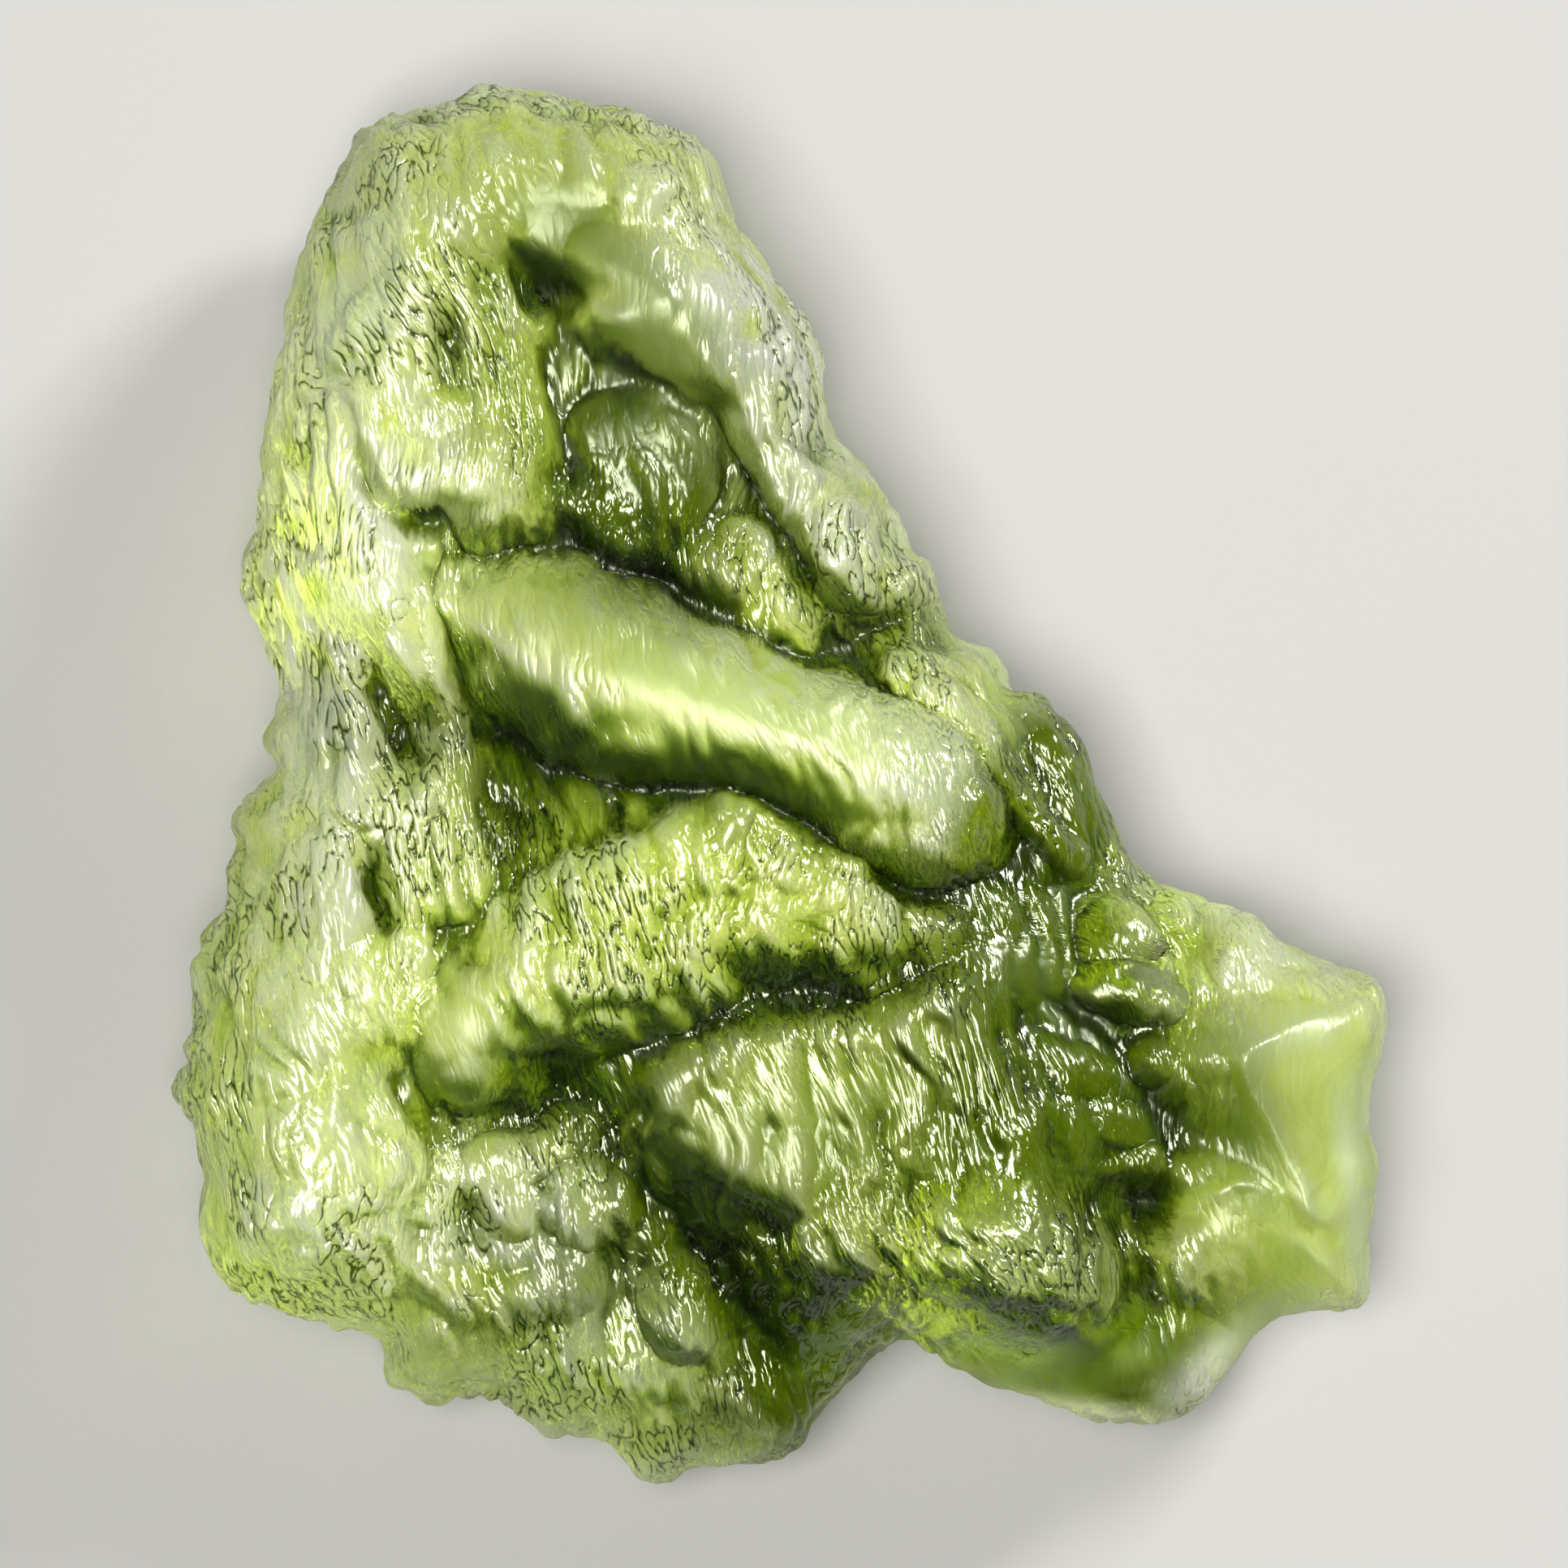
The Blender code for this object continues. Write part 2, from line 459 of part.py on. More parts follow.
def corrosion(points):
    """How far the skin stands out: cells and creases drawn out along the flow."""
    x, y, z = points.T
    angle = np.radians(FLOW_ANGLE)
    along = x * np.cos(angle) + y * np.sin(angle)
    across = y * np.cos(angle) - x * np.sin(angle)
    along = along + SWAY_REACH * noise(points / SWAY_LENGTH, 51)
    across = across + SWAY_REACH * noise(points / SWAY_LENGTH, 52)
    flow = np.stack([along, across, z], axis=-1)
    dome = 1 - cells(flow / CELL, 21) ** 1.5
    crease = 2 * np.abs(noise(flow / CREASE, 33)) - 1
    rough = 1 - SMOOTHING * np.clip(spots(x, y, SMOOTH_SPOTS), 0, 1)
    return rough * (CELL_HEIGHT * dome + CREASE_HEIGHT * crease)


def stone():
    """Points and triangles of the whole closed shell, in millimetres."""
    outline = smooth_line(OUTLINE, 3, closed=True)
    face_plan = ring_plan(outline, FACE_RINGS, 1.0)
    back_plan = ring_plan(outline, BACK_RINGS, 1.0 - 0.6 / BACK_RINGS)

    x, y = face_plan.T
    width = RIM_ROUNDING + spots(x, y, ROUNDING_SPOTS)
    face_z = rounded_edge(x, y, face_forms(*wander(x, y)), outline, width)
    x, y = back_plan.T
    back_z = rounded_edge(x, y, back_forms(x, y), outline, BACK_ROUNDING)
    points = np.vstack([np.column_stack([face_plan, face_z]), np.column_stack([back_plan, back_z])])

    face = ring_faces(FACE_RINGS)
    back = ring_faces(BACK_RINGS)[:, ::-1] + len(face_plan)
    rim = np.arange(ring_start(FACE_RINGS), len(face_plan))
    back_edge = np.arange(ring_start(BACK_RINGS), len(back_plan)) + len(face_plan)
    faces = np.vstack([face, back, seam_faces(rim, back_edge)])

    points = points + vertex_normals(points, faces) * corrosion(points)[:, None]
    points[:, 2] = np.maximum(points[:, 2], 0.0)
    return points, faces


def glass():
    """Moldavite glass, clear bottle green."""
    material = bpy.data.materials.new("moldavite glass")
    material.use_nodes = True
    shader = material.node_tree.nodes["Principled BSDF"]
    shader.inputs["Base Color"].default_value = GLASS_COLOUR
    shader.inputs["Metallic"].default_value = 0.0
    shader.inputs["Roughness"].default_value = GLASS_ROUGHNESS
    shader.inputs["IOR"].default_value = GLASS_IOR
    shader.inputs["Transmission Weight"].default_value = 1.0
    return material


def build():
    """The stone as one object."""
    points, faces = stone()
    mesh = bpy.data.meshes.new("moldavite")
    mesh.from_pydata((points * MM).tolist(), [], faces.tolist())
    mesh.materials.append(glass())
    mesh.shade_smooth()
    bpy.context.scene.collection.objects.link(bpy.data.objects.new("moldavite", mesh))


for old in list(bpy.data.objects):
    bpy.data.objects.remove(old, do_unlink=True)
build()
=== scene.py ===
"""Moldavite: the look of one natural lump of green tektite glass, lying on its back.

The stone is one closed shell of clear glass. Its forms are those of the CAD
solid, worked out again on a grid almost five times finer, with the finer flow
lines of the etched skin added. Its colour comes from the glass's depth and
from a tint at each point, which follows those forms and listed spots. The tint
holds painted shade in the hollows, the grooves, the deep spots and on slopes
that lean away, painted light on the crests and on slight leans, and frosting
with a painted sheen in places.
"""

import bpy
import numpy as np
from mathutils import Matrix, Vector


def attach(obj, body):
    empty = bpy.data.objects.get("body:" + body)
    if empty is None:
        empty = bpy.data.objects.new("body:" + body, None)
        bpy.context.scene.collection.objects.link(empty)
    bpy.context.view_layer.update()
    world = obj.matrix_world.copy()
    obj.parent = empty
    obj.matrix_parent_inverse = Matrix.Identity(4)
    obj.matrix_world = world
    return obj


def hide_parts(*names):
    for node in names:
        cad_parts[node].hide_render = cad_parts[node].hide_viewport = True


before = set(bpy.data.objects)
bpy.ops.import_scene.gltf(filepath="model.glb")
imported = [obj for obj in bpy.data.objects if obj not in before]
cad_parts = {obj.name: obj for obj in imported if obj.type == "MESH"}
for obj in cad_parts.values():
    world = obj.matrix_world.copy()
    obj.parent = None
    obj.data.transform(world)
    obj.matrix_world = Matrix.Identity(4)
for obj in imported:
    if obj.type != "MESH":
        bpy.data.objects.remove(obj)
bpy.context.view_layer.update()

# Driving dimensions in millimetres, unless a comment says otherwise
PIXEL = 0.0175  # size on the stone of one pixel of the photograph
MIDDLE = (961.7, 969.8)  # the frame's origin, in pixels of the photograph
HEART = (820, 1130)  # the point that the rings shrink to, in pixels
FACE_RINGS = 140
BACK_RINGS = 70
BACK_INSET = 0.6  # how far the back's last ring lies inside the outline, as a share of a ring
FIRST_RING_SIDES = 8
EDGE_CROWDING = 0.5  # how much closer the rings lie at the edge, from 0 to 1
GROUND = 3.9  # height of the face between its forms
RIM_HEIGHT = 2.7  # height of the stone's edge line
RIM_ROUNDING = 2.4  # how far in from the edge the face is rounded
BACK_ROUNDING = 4.2
BACK_HEIGHT = 0.75  # height of the back away from its worn spots
BACK_WAVES = ((3.4, 0.45), (1.5, 0.16))  # wavelength, height
BEND = ((2.2, 0.25), (0.7, 0.08))  # wavelength and reach of the forms' wander
FLOW_ANGLE = -78.0  # degrees from +X of the glass's flow lines
CELL = (1.5, 0.85, 1.2)  # corroded cells: along the flow, across, deep
CELL_HEIGHT = 0.22
CREASE = (1.6, 0.5, 1.0)  # flow creases: along the flow, across, deep
CREASE_HEIGHT = 0.1
SWAY_LENGTH = 1.3  # the flow lines' own sway: its wavelength and its reach
SWAY_REACH = 0.5
MM = 0.001  # metres

# The outline from the top, clockwise, in pixels of the photograph
OUTLINE = (
    (610, 110), (700, 124), (768, 138), (806, 152), (850, 174), (872, 205), (890, 250), (920, 298),
    (955, 345), (985, 390), (1004, 435), (1008, 468), (1013, 503), (1027, 538), (1050, 566),
    (1080, 600), (1100, 640), (1118, 680), (1143, 698), (1155, 735), (1172, 770), (1190, 793),
    (1217, 806), (1230, 830), (1245, 850), (1282, 862), (1312, 888), (1337, 928), (1350, 965),
    (1370, 1010), (1386, 1052), (1402, 1077), (1421, 1088), (1449, 1100), (1476, 1109),
    (1508, 1121), (1545, 1135), (1575, 1162), (1618, 1180), (1664, 1196), (1697, 1210),
    (1713, 1248), (1708, 1290), (1694, 1335), (1690, 1390), (1702, 1440), (1693, 1500),
    (1688, 1550), (1688, 1598), (1665, 1615), (1620, 1618), (1565, 1632), (1525, 1678),
    (1482, 1725), (1455, 1752), (1400, 1753), (1330, 1742), (1270, 1722), (1215, 1705),
    (1160, 1670), (1110, 1650), (1078, 1667), (1035, 1715), (1000, 1757), (978, 1790),
    (930, 1803), (860, 1808), (805, 1827), (768, 1805), (728, 1776), (680, 1774), (648, 1755),
    (620, 1725), (590, 1714), (535, 1728), (482, 1706), (470, 1655), (430, 1635), (375, 1628),
    (330, 1610), (280, 1585), (253, 1530), (250, 1470), (243, 1400), (228, 1372), (217, 1345),
    (232, 1312), (228, 1290), (243, 1265), (243, 1215), (240, 1188), (262, 1150), (285, 1110),
    (285, 1070), (298, 1040), (293, 1005), (315, 975), (341, 945), (332, 910), (345, 870),
    (345, 840), (330, 800), (318, 760), (301, 725), (305, 680), (320, 620), (325, 560),
    (328, 510), (342, 440), (358, 380), (375, 300), (400, 255), (425, 200), (450, 165),
    (490, 147), (545, 132),
)

# Slabs: edge in pixels, height at the middle, rise per mm along X and Y,
# rounding of the shoulder, steepness of the sides
LEFT_FLANGE = (
    ((470, 120), (620, 90), (760, 110), (850, 160), (760, 215), (640, 225), (600, 300), (640, 365),
     (672, 440), (692, 520), (702, 590), (716, 655), (600, 664), (510, 700), (522, 745), (552, 830),
     (582, 885), (606, 930), (604, 980), (600, 1030), (620, 1100), (628, 1128), (545, 1135),
     (548, 1170), (522, 1215), (512, 1260), (500, 1320), (480, 1400), (470, 1500), (440, 1640),
     (200, 1640), (150, 1300), (220, 1100), (260, 900), (240, 700), (270, 500), (330, 250),
     (400, 150)),
    6.2, (-0.14, 0.03), 0.8, 2.2)
RIGHT_RIDGE = (
    ((735, 350), (745, 250), (790, 150), (870, 120), (950, 250), (1060, 450), (1130, 600),
     (1180, 700), (1120, 745), (1010, 745), (960, 660), (925, 600), (868, 515), (800, 470),
     (745, 440), (715, 395)),
    7.8, (0.06, -0.02), 2.6, 1.3)
LOWER_SLAB = (
    ((785, 1310), (850, 1275), (930, 1258), (1050, 1235), (1140, 1190), (1195, 1205), (1225, 1290),
     (1265, 1360), (1285, 1430), (1290, 1500), (1210, 1600), (1140, 1670), (1090, 1635),
     (1010, 1555), (930, 1485), (850, 1425), (790, 1360)),
    6.9, (0.04, 0.10), 0.7, 1.0)
SECOND_ROLL = (
    ((540, 1190), (600, 1150), (650, 1090), (700, 1045), (780, 1012), (850, 988), (905, 977),
     (960, 987), (1020, 1030), (1080, 1075), (1140, 1105), (1175, 1140), (1130, 1175),
     (1050, 1222), (950, 1243), (850, 1262), (760, 1285), (700, 1285), (630, 1310), (595, 1352),
     (545, 1310), (518, 1250)),
    6.9, (0.04, 0.30), 1.2, 2.4)
BROKEN_END = (
    ((1515, 1300), (1560, 1265), (1640, 1228), (1700, 1200), (1780, 1220), (1780, 1640),
     (1700, 1640), (1640, 1590), (1600, 1500), (1560, 1400)),
    5.4, (-0.42, 0.10), 0.15, 1.0)
BROKEN_FLANK = (
    ((1440, 1300), (1515, 1290), (1570, 1400), (1610, 1500), (1560, 1470), (1470, 1440)),
    5.6, (0.40, 0.15), 0.15, 1.2)
BROKEN_LEDGE = (
    ((1445, 1520), (1500, 1465), (1570, 1470), (1640, 1580), (1700, 1660), (1560, 1660),
     (1450, 1580)),
    5.3, (-0.05, 0.30), 0.15, 0.8)
BROKEN_PLATE = (
    ((1488, 1205), (1508, 1150), (1558, 1122), (1600, 1165), (1625, 1225), (1530, 1282)),
    5.7, (0.1, 0.45), 0.15, 1.5)

# Rolls: rows of a point in pixels, crest height, width to the left and to the
# right of travel; then how far the rounding falls and the steepness below it
LEFT_CREST = (
    ((560, 165, 6.4, 2.0, 2.2), (470, 330, 7.0, 2.2, 1.8), (430, 520, 7.4, 2.2, 1.5),
     (425, 700, 7.4, 2.2, 1.6), (430, 850, 6.9, 2.2, 1.6), (420, 1000, 6.6, 2.2, 1.8),
     (380, 1180, 6.9, 2.2, 2.4), (360, 1350, 7.0, 2.2, 2.2), (350, 1480, 6.8, 2.2, 1.8)),
    1.5, 0.5)
TOP_RIM = (
    ((500, 190, 6.0, 1.6, 1.2), (600, 160, 6.4, 1.6, 1.5), (700, 165, 6.5, 1.6, 1.5),
     (800, 195, 7.0, 1.6, 1.2)),
    1.0, 0.8)
RIM_FLANGE = (
    ((1210, 815, 4.6, 0.4, 0.5), (1260, 870, 4.5, 0.3, 0.9), (1320, 935, 4.4, 0.3, 0.9),
     (1365, 1030, 4.3, 0.3, 0.8), (1410, 1095, 4.4, 0.3, 0.7)),
    0.3, 1.0)
KNOB_RIDGE = (
    ((1122, 822, 6.6, 0.5, 0.6), (1160, 862, 6.9, 0.5, 0.7), (1205, 930, 6.3, 0.35, 0.5),
     (1265, 1000, 5.6, 0.3, 0.4), (1320, 1050, 5.2, 0.3, 0.4)),
    0.8, 1.4)
SECOND_CREST = (
    ((575, 1245, 6.9, 0.9, 1.0), (640, 1165, 7.3, 0.9, 1.2), (740, 1085, 7.8, 0.9, 1.4),
     (850, 1027, 8.2, 0.7, 1.4), (905, 1007, 8.3, 0.5, 1.4), (1000, 1055, 8.1, 0.6, 1.2),
     (1090, 1108, 7.7, 0.6, 1.0), (1150, 1140, 7.2, 0.6, 0.8)),
    0.8, 0.7)
MIDDLE_ROLL = (
    ((575, 742, 7.2, 1.3, 1.1), (650, 785, 7.9, 2.0, 1.7), (760, 830, 8.5, 1.95, 2.0),
     (880, 870, 8.8, 1.7, 1.9), (1000, 915, 8.9, 1.6, 1.65), (1100, 965, 8.8, 1.75, 1.75),
     (1140, 1000, 8.5, 1.5, 1.5)),
    2.0, 3.0)

# Lumps: middle in pixels, half length, half width, crest height, turn in degrees
VALLEY_LUMPS = (
    (785, 592, 1.6, 2.0, 6.4, -20), (722, 470, 1.2, 1.0, 5.7, 0), (918, 722, 0.8, 1.5, 6.4, 28),
    (862, 690, 0.5, 1.5, 6.2, 22), (975, 768, 0.6, 0.9, 6.2, 25),
    (808, 392, 2.4, 1.0, 7.5, -52), (698, 252, 2.5, 2.1, 6.6, 0))
SCALES = (
    (590, 268, 1.0, 0.9, 6.9, 0), (630, 400, 1.1, 0.9, 6.8, 0), (600, 480, 1.1, 0.9, 6.8, 0),
    (570, 580, 1.5, 1.4, 7.5, 0), (510, 420, 0.8, 1.3, 7.1, 0), (560, 1030, 0.9, 1.7, 6.4, 10),
    (490, 1210, 1.1, 1.2, 6.9, 0), (450, 1400, 1.1, 1.3, 6.9, 0), (520, 800, 0.8, 1.7, 6.9, 15))
GAP_LUMPS = (
    (645, 985, 0.6, 0.95, 5.2, 0), (715, 1005, 0.45, 0.45, 5.6, 0))
SLAB_DOME = (
    (1228, 1535, 2.05, 1.9, 7.8, -20),)
SECOND_BULGE = (
    (800, 1150, 4.4, 1.9, 8.0, 25), (985, 1125, 3.0, 1.5, 7.8, -12), (590, 1270, 1.3, 1.5, 7.3, 0))
RIGHT_LUMPS = (
    (1375, 1150, 0.7, 0.8, 5.5, -15), (1385, 1218, 1.05, 0.6, 5.8, -15),
    (1290, 1300, 1.0, 0.6, 5.8, -15), (1330, 1375, 1.4, 0.6, 5.6, -15),
    (1415, 1300, 0.7, 0.6, 5.5, -15), (1400, 1440, 0.8, 0.6, 5.3, 0),
    (1260, 1040, 0.7, 0.8, 4.7, 0), (1440, 1118, 0.4, 0.4, 4.9, 0))
FOOT_LOBES = (
    (735, 1475, 0.95, 0.9, 5.9, 0), (640, 1450, 1.0, 1.2, 5.6, 20), (555, 1450, 1.1, 0.9, 5.5, 0),
    (700, 1560, 0.8, 1.3, 5.5, 0), (800, 1515, 0.5, 0.7, 5.1, 0), (835, 1600, 0.8, 1.4, 5.4, 10),
    (640, 1575, 0.7, 1.6, 5.3, 0), (720, 1690, 1.0, 1.1, 4.9, 0), (800, 1700, 0.8, 0.9, 4.8, 0),
    (560, 1580, 0.9, 1.7, 5.1, 0), (480, 1520, 1.3, 1.5, 5.4, 0), (930, 1730, 1.4, 1.1, 4.2, 0),
    (700, 1405, 0.7, 0.8, 5.6, 0), (600, 1670, 1.0, 1.0, 4.7, 0))
LUMP_FALL = 0.9  # how far a lump's rounding falls
SCALE_FALL = 0.55
DOME_FALL = 1.7
LUMP_STEEPNESS = 1.5

# Swells and pits: middle in pixels, half length, half width, height, turn
SWELLS = (
    (620, 250, 3.5, 2.6, 1.9, 0), (870, 640, 5.0, 2.4, 1.5, -47), (705, 1330, 2.0, 0.9, -1.6, -5),
    (930, 1560, 3.6, 1.1, -1.0, -45), (680, 960, 1.5, 1.8, -1.0, 10), (1260, 1180, 1.6, 3.4, -0.4, 0),
    (560, 1600, 4.5, 3.0, 0.9, 0), (1400, 1660, 3.4, 1.6, 0.7, 0), (1560, 1400, 2.8, 3.8, 0.8, 0))
PITS = (
    (500, 905, 1.0, 0.8, -1.4, 40), (470, 850, 0.45, 0.8, -1.0, 0), (470, 1080, 0.45, 0.95, -1.1, 15),
    (465, 600, 0.3, 0.8, -0.5, 15), (530, 645, 0.8, 0.5, -0.9, 0), (945, 420, 0.5, 0.3, -0.45, 30),
    (1010, 548, 0.6, 0.5, -0.9, 0), (675, 362, 0.9, 0.7, -0.8, 0), (1420, 1490, 1.2, 0.6, -1.0, 0),
    (620, 900, 0.5, 0.3, -1.2, -20), (762, 1000, 0.2, 0.3, -1.0, 0))
ROUNDING_SPOTS = (
    (330, 750, 2.8, 11.0, 1.6, 0), (1330, 950, 2.0, 3.5, -1.6, -40), (1690, 1420, 2.0, 4.5, -1.5, 0),
    (1400, 1740, 4.0, 1.2, -1.4, 0))
RIM_SWELLS = (
    (1330, 950, 3.0, 4.0, 1.1, -40), (600, 110, 4.0, 3.0, 0.6, 0), (300, 900, 3.0, 6.0, 0.5, 0),
    (600, 1760, 6.0, 2.5, -0.5, 0), (1400, 1740, 4.0, 2.0, 0.3, 0))
BACK_SWELLS = (
    (1330, 950, 2.6, 4.2, 2.2, -40), (1420, 1710, 3.6, 1.8, 1.3, 0), (620, 1740, 4.5, 1.8, 0.9, 0),
    (1690, 1250, 1.8, 2.4, 1.2, 0), (600, 140, 3.2, 2.0, 0.8, 0), (960, 400, 1.6, 3.0, 0.7, -30))
# The worn spots that the stone rests on; the first is the largest
WORN_SPOTS = (
    (800, 980, 3.6, 2.6, -2.9, 20), (560, 430, 2.2, 2.6, -2.4, 0), (430, 1340, 2.4, 2.6, -2.4, 0),
    (1290, 1400, 2.6, 2.2, -2.4, 0), (820, 1560, 1.8, 1.6, -2.0, 0))
# Places where the glass is smooth, as strength from 0 to 1
SMOOTH_SPOTS = (
    (850, 860, 5.6, 1.9, 1.2, -22), (1600, 1420, 2.8, 5.0, 1.2, 0), (690, 270, 1.4, 1.2, 1.0, 0),
    (570, 1260, 1.0, 1.4, 1.0, 0), (1330, 1680, 3.5, 1.0, 1.0, 10), (790, 400, 1.4, 2.2, 1.0, 50))
SMOOTHING = 0.85

# Soft seams between the forms
BROAD_SEAM = 0.6
WIDE_SEAM = 0.3
SEAM = 0.2
SHARP_SEAM = 0.08

# Where the finest lines are worn away, as strength from 0 to 1
SMOOTH_SKIN = (
    (850, 860, 6.0, 2.1, 1.0, -25), (1600, 1420, 2.8, 4.6, 1.2, 0), (690, 260, 1.8, 1.5, 1.0, 0),
    (570, 1260, 1.2, 1.6, 1.1, 0), (1330, 1680, 3.5, 1.0, 1.0, 10), (790, 400, 1.6, 2.4, 1.0, 50),
    (785, 560, 2.0, 2.4, 0.5, 0), (1320, 1230, 1.6, 2.8, 0.8, 30), (930, 1400, 2.8, 2.6, 0.7, 0))
FINE_SMOOTHING = 0.85  # the share of the lines that wear takes at full strength
LINE = (1.2, 0.32, 0.6)  # the finest lines made as form: along the flow, across, deep
LINE_HEIGHT = 0.13
FINE_SWAY_LENGTH = 4.0  # the finest lines' longer sway
FINE_SWAY_REACH = 0.9
FINE_PATCH = 1.3  # size of the patches in which the finest lines stand out
PATCH_LEVEL = 0.8  # the lines' strength between patches and how much it changes
FAINTEST_PATCH = 0.5
HAIR_LINE = (0.6, 0.2, 0.4)  # lines too fine for form: along the flow, across, deep
HAIR_DEPTH = 0.042
HAIR_GROOVE = (0.97, 1.35)  # the pattern's values where a groove's painted shade starts and is full
# painted shade in the bottoms of the hair lines
GROOVE_SHADE = "#404C1A"
SATIN = (0.19, 0.42)  # roughness where the skin is etched, and where it is smooth or hollow
SATIN_RANGE = (0.5, 0.85)  # the smoothness at which the first ends and the second is reached
HOLLOW_SATIN = 0.4  # how much less a hollow counts for that than a smooth place does

# The glass: typical of moldavite, with the green that its depth takes on
GLASS_IOR = 1.49
TRANSMISSION = 0.88  # the rest stands for light that the etched skin scatters back
GLINT = "#F6FCDA"  # a trace of green in the glints, matched
ABSORPTION = (0.85, 0.90, 0.04, 1.0)
ABSORPTION_DENSITY = 140.0  # per metre

# How far a point lies below its surroundings, in millimetres: reach of the
# surroundings, then the depth that counts as fully hollow
HOLLOWS = ((1.0, 1.4), (0.35, 0.8), (0.15, 0.5))
# The skin's tint from the crests to the bottoms of the hollows: the glass's yellow-green, paled by
# painted light on the crests and darkened by painted shade in the hollows
HOLLOW_SHADE_TINTS = (
    (-0.7, "#F8FFD4"), (-0.25, "#F0FA98"), (0.1, "#C8DC54"), (0.45, "#64780C"), (1.1, "#263802"))
# Shading of the photograph that the tint keeps, because the softboxes don't make
# it: the way of leaning in plan, then the lean, from 0 level to 1 upright, and
# the share of light kept
LEAN_WAY = (-0.35, -0.94, 0.0)
LEANS = ((-0.6, 0.9), (-0.2, 0.95), (0.1, 1.1), (0.3, 1.3), (0.42, 0.6), (0.55, 0.14), (0.7, 0.03))
PAINTED_LIGHT_LOSS = (1.2, 1.0, 1.8, 1.0)  # how fast red, green, blue and alpha go as the painted light dims
FROST_AND_SHEEN_EVENNESS = 0.65  # how far frosting and painted sheen even out the painted light and shade
# Thin and broken parts that get no painted light or shade from leaning, as strength from 0 to 1
EVEN_SPOTS = (
    (1570, 1430, 2.4, 3.4, 1.0, 10), (430, 830, 1.2, 2.2, 0.9, 0), (330, 1500, 2.6, 3.0, 0.7, 0))
# Painted shade: darker green in the valleys, pits and under the rolls, as strength from 0 to 1
DEEP_SHADE_SPOTS = (
    (790, 640, 2.2, 3.0, 0.9, 20), (700, 1330, 2.6, 1.2, 1.2, 0), (1270, 1120, 2.2, 3.0, 1.0, 0),
    (1380, 1400, 2.4, 3.0, 0.8, 0), (920, 1560, 4.2, 1.3, 1.2, -45), (1340, 1680, 4.6, 1.8, 1.3, 0),
    (1000, 1720, 2.6, 2.0, 1.0, 0), (640, 980, 1.4, 1.8, 1.0, 0), (1110, 775, 1.6, 1.0, 0.8, 0),
    (670, 350, 1.0, 0.9, 0.4, 0), (500, 905, 1.4, 1.2, 0.6, 0), (790, 955, 3.6, 0.8, 0.9, -22),
    (1310, 950, 1.5, 3.4, 1.5, -40), (820, 400, 0.9, 3.0, 0.7, 40), (620, 1600, 3.0, 2.0, 0.3, 0),
    (1530, 1380, 0.8, 2.6, 0.5, 15), (950, 1240, 4.5, 0.7, 0.8, 12), (1130, 1410, 4.6, 3.5, 0.75, 0),
    (1330, 1260, 2.4, 3.6, 0.55, -20), (1600, 1400, 2.0, 4.0, 0.3, 0), (760, 1580, 2.6, 3.0, 0.55, 0),
    (300, 1420, 2.6, 3.6, 0.25, 0), (790, 590, 2.0, 2.4, 0.7, 0), (620, 450, 2.4, 3.2, 0.5, 0),
    (690, 260, 2.0, 1.6, 0.5, 0))
# the darker green of the painted shade
DEEP_SHADE = "#6F7F14"
RIM_FADE = 1.6  # how far in from the edge the painted shade of the hollows and the leaning counts in full
# Chipped lips that look whitish, as strength from 0 to 1
LIPS = "#FCFCF4"
LIP_SPOTS = (
    (1495, 1685, 1.3, 0.55, 1.3, 45), (1330, 1738, 1.7, 0.25, 1.1, -8),
    (1545, 1185, 0.9, 0.7, 0.7, 40), (1660, 1450, 0.35, 2.2, 0.6, 8))
SILVER = "#FFFFFF"  # the frosted tint of the most finely etched parts, with a painted sheen
PALE_RIM = 0.9  # how far in from the edge the thin glass is frosted, with a painted sheen
PALE_RIM_FROST_AND_SHEEN = 0.7
FROST_AND_SHEEN_LEVEL = 0.9  # the strength of the frosting and painted sheen between patches
MOTTLE = 0.7  # size of the patches in which the frosting and painted sheen vary
MOTTLE_STRENGTH = 0.9
FROST_AND_SHEEN_FALL = 1.6  # how fast the frosting and painted sheen end in a hollow
# Where the skin is frosted and given a painted sheen, as strength from 0 to 1
SILVER_SPOTS = (
    (400, 420, 2.6, 5.0, 0.9, 0), (380, 900, 3.0, 6.5, 0.9, 0), (430, 1500, 4.5, 3.5, 0.5, 0),
    (750, 1580, 3.0, 3.5, 0.35, 0), (920, 400, 1.8, 3.6, 0.9, 30), (1150, 980, 1.6, 1.4, 0.8, 0),
    (1040, 660, 1.4, 1.4, 0.5, 0), (1300, 930, 1.4, 2.6, 0.5, -40), (960, 420, 0.9, 2.2, 0.8, 30),
    (330, 1500, 1.4, 1.4, 0.6, 0), (850, 500, 0.8, 2.8, 0.55, 38), (540, 600, 2.0, 1.8, 0.8, 0),
    (640, 1500, 1.6, 1.6, 0.5, 0), (760, 1640, 1.4, 1.8, 0.5, 20), (360, 650, 1.6, 3.6, 0.4, 0))

# The studio, in metres and watts
CARD = "#706F6C"  # under the softboxes this grey shows as a pale off-white
CARD_ROUGHNESS = 0.85
PHOTO_MIDDLE = 966  # of the photograph's width and height, in pixels
LENS = 200  # a long lens, in millimetres, so that the sides don't splay
SENSOR = 36
AIM_HEIGHT = 0.004  # the height that the camera and the softboxes are set for
SURROUNDINGS = "#F4F6F8"
SURROUNDINGS_STRENGTH = 0.05
# Softboxes: name, place, side, power
SOFTBOXES = (
    ("top softbox", (-0.05, -0.03, 0.33), 0.17, 3.5),
    ("upper right softbox", (0.24, 0.22, 0.18), 0.08, 3.6))


def place(rows):
    """Rows that start with a point in pixels, with that point in millimetres."""
    rows = np.array(rows, dtype=float)
    rows[:, 0] = (rows[:, 0] - MIDDLE[0]) * PIXEL
    rows[:, 1] = (MIDDLE[1] - rows[:, 1]) * PIXEL
    return rows


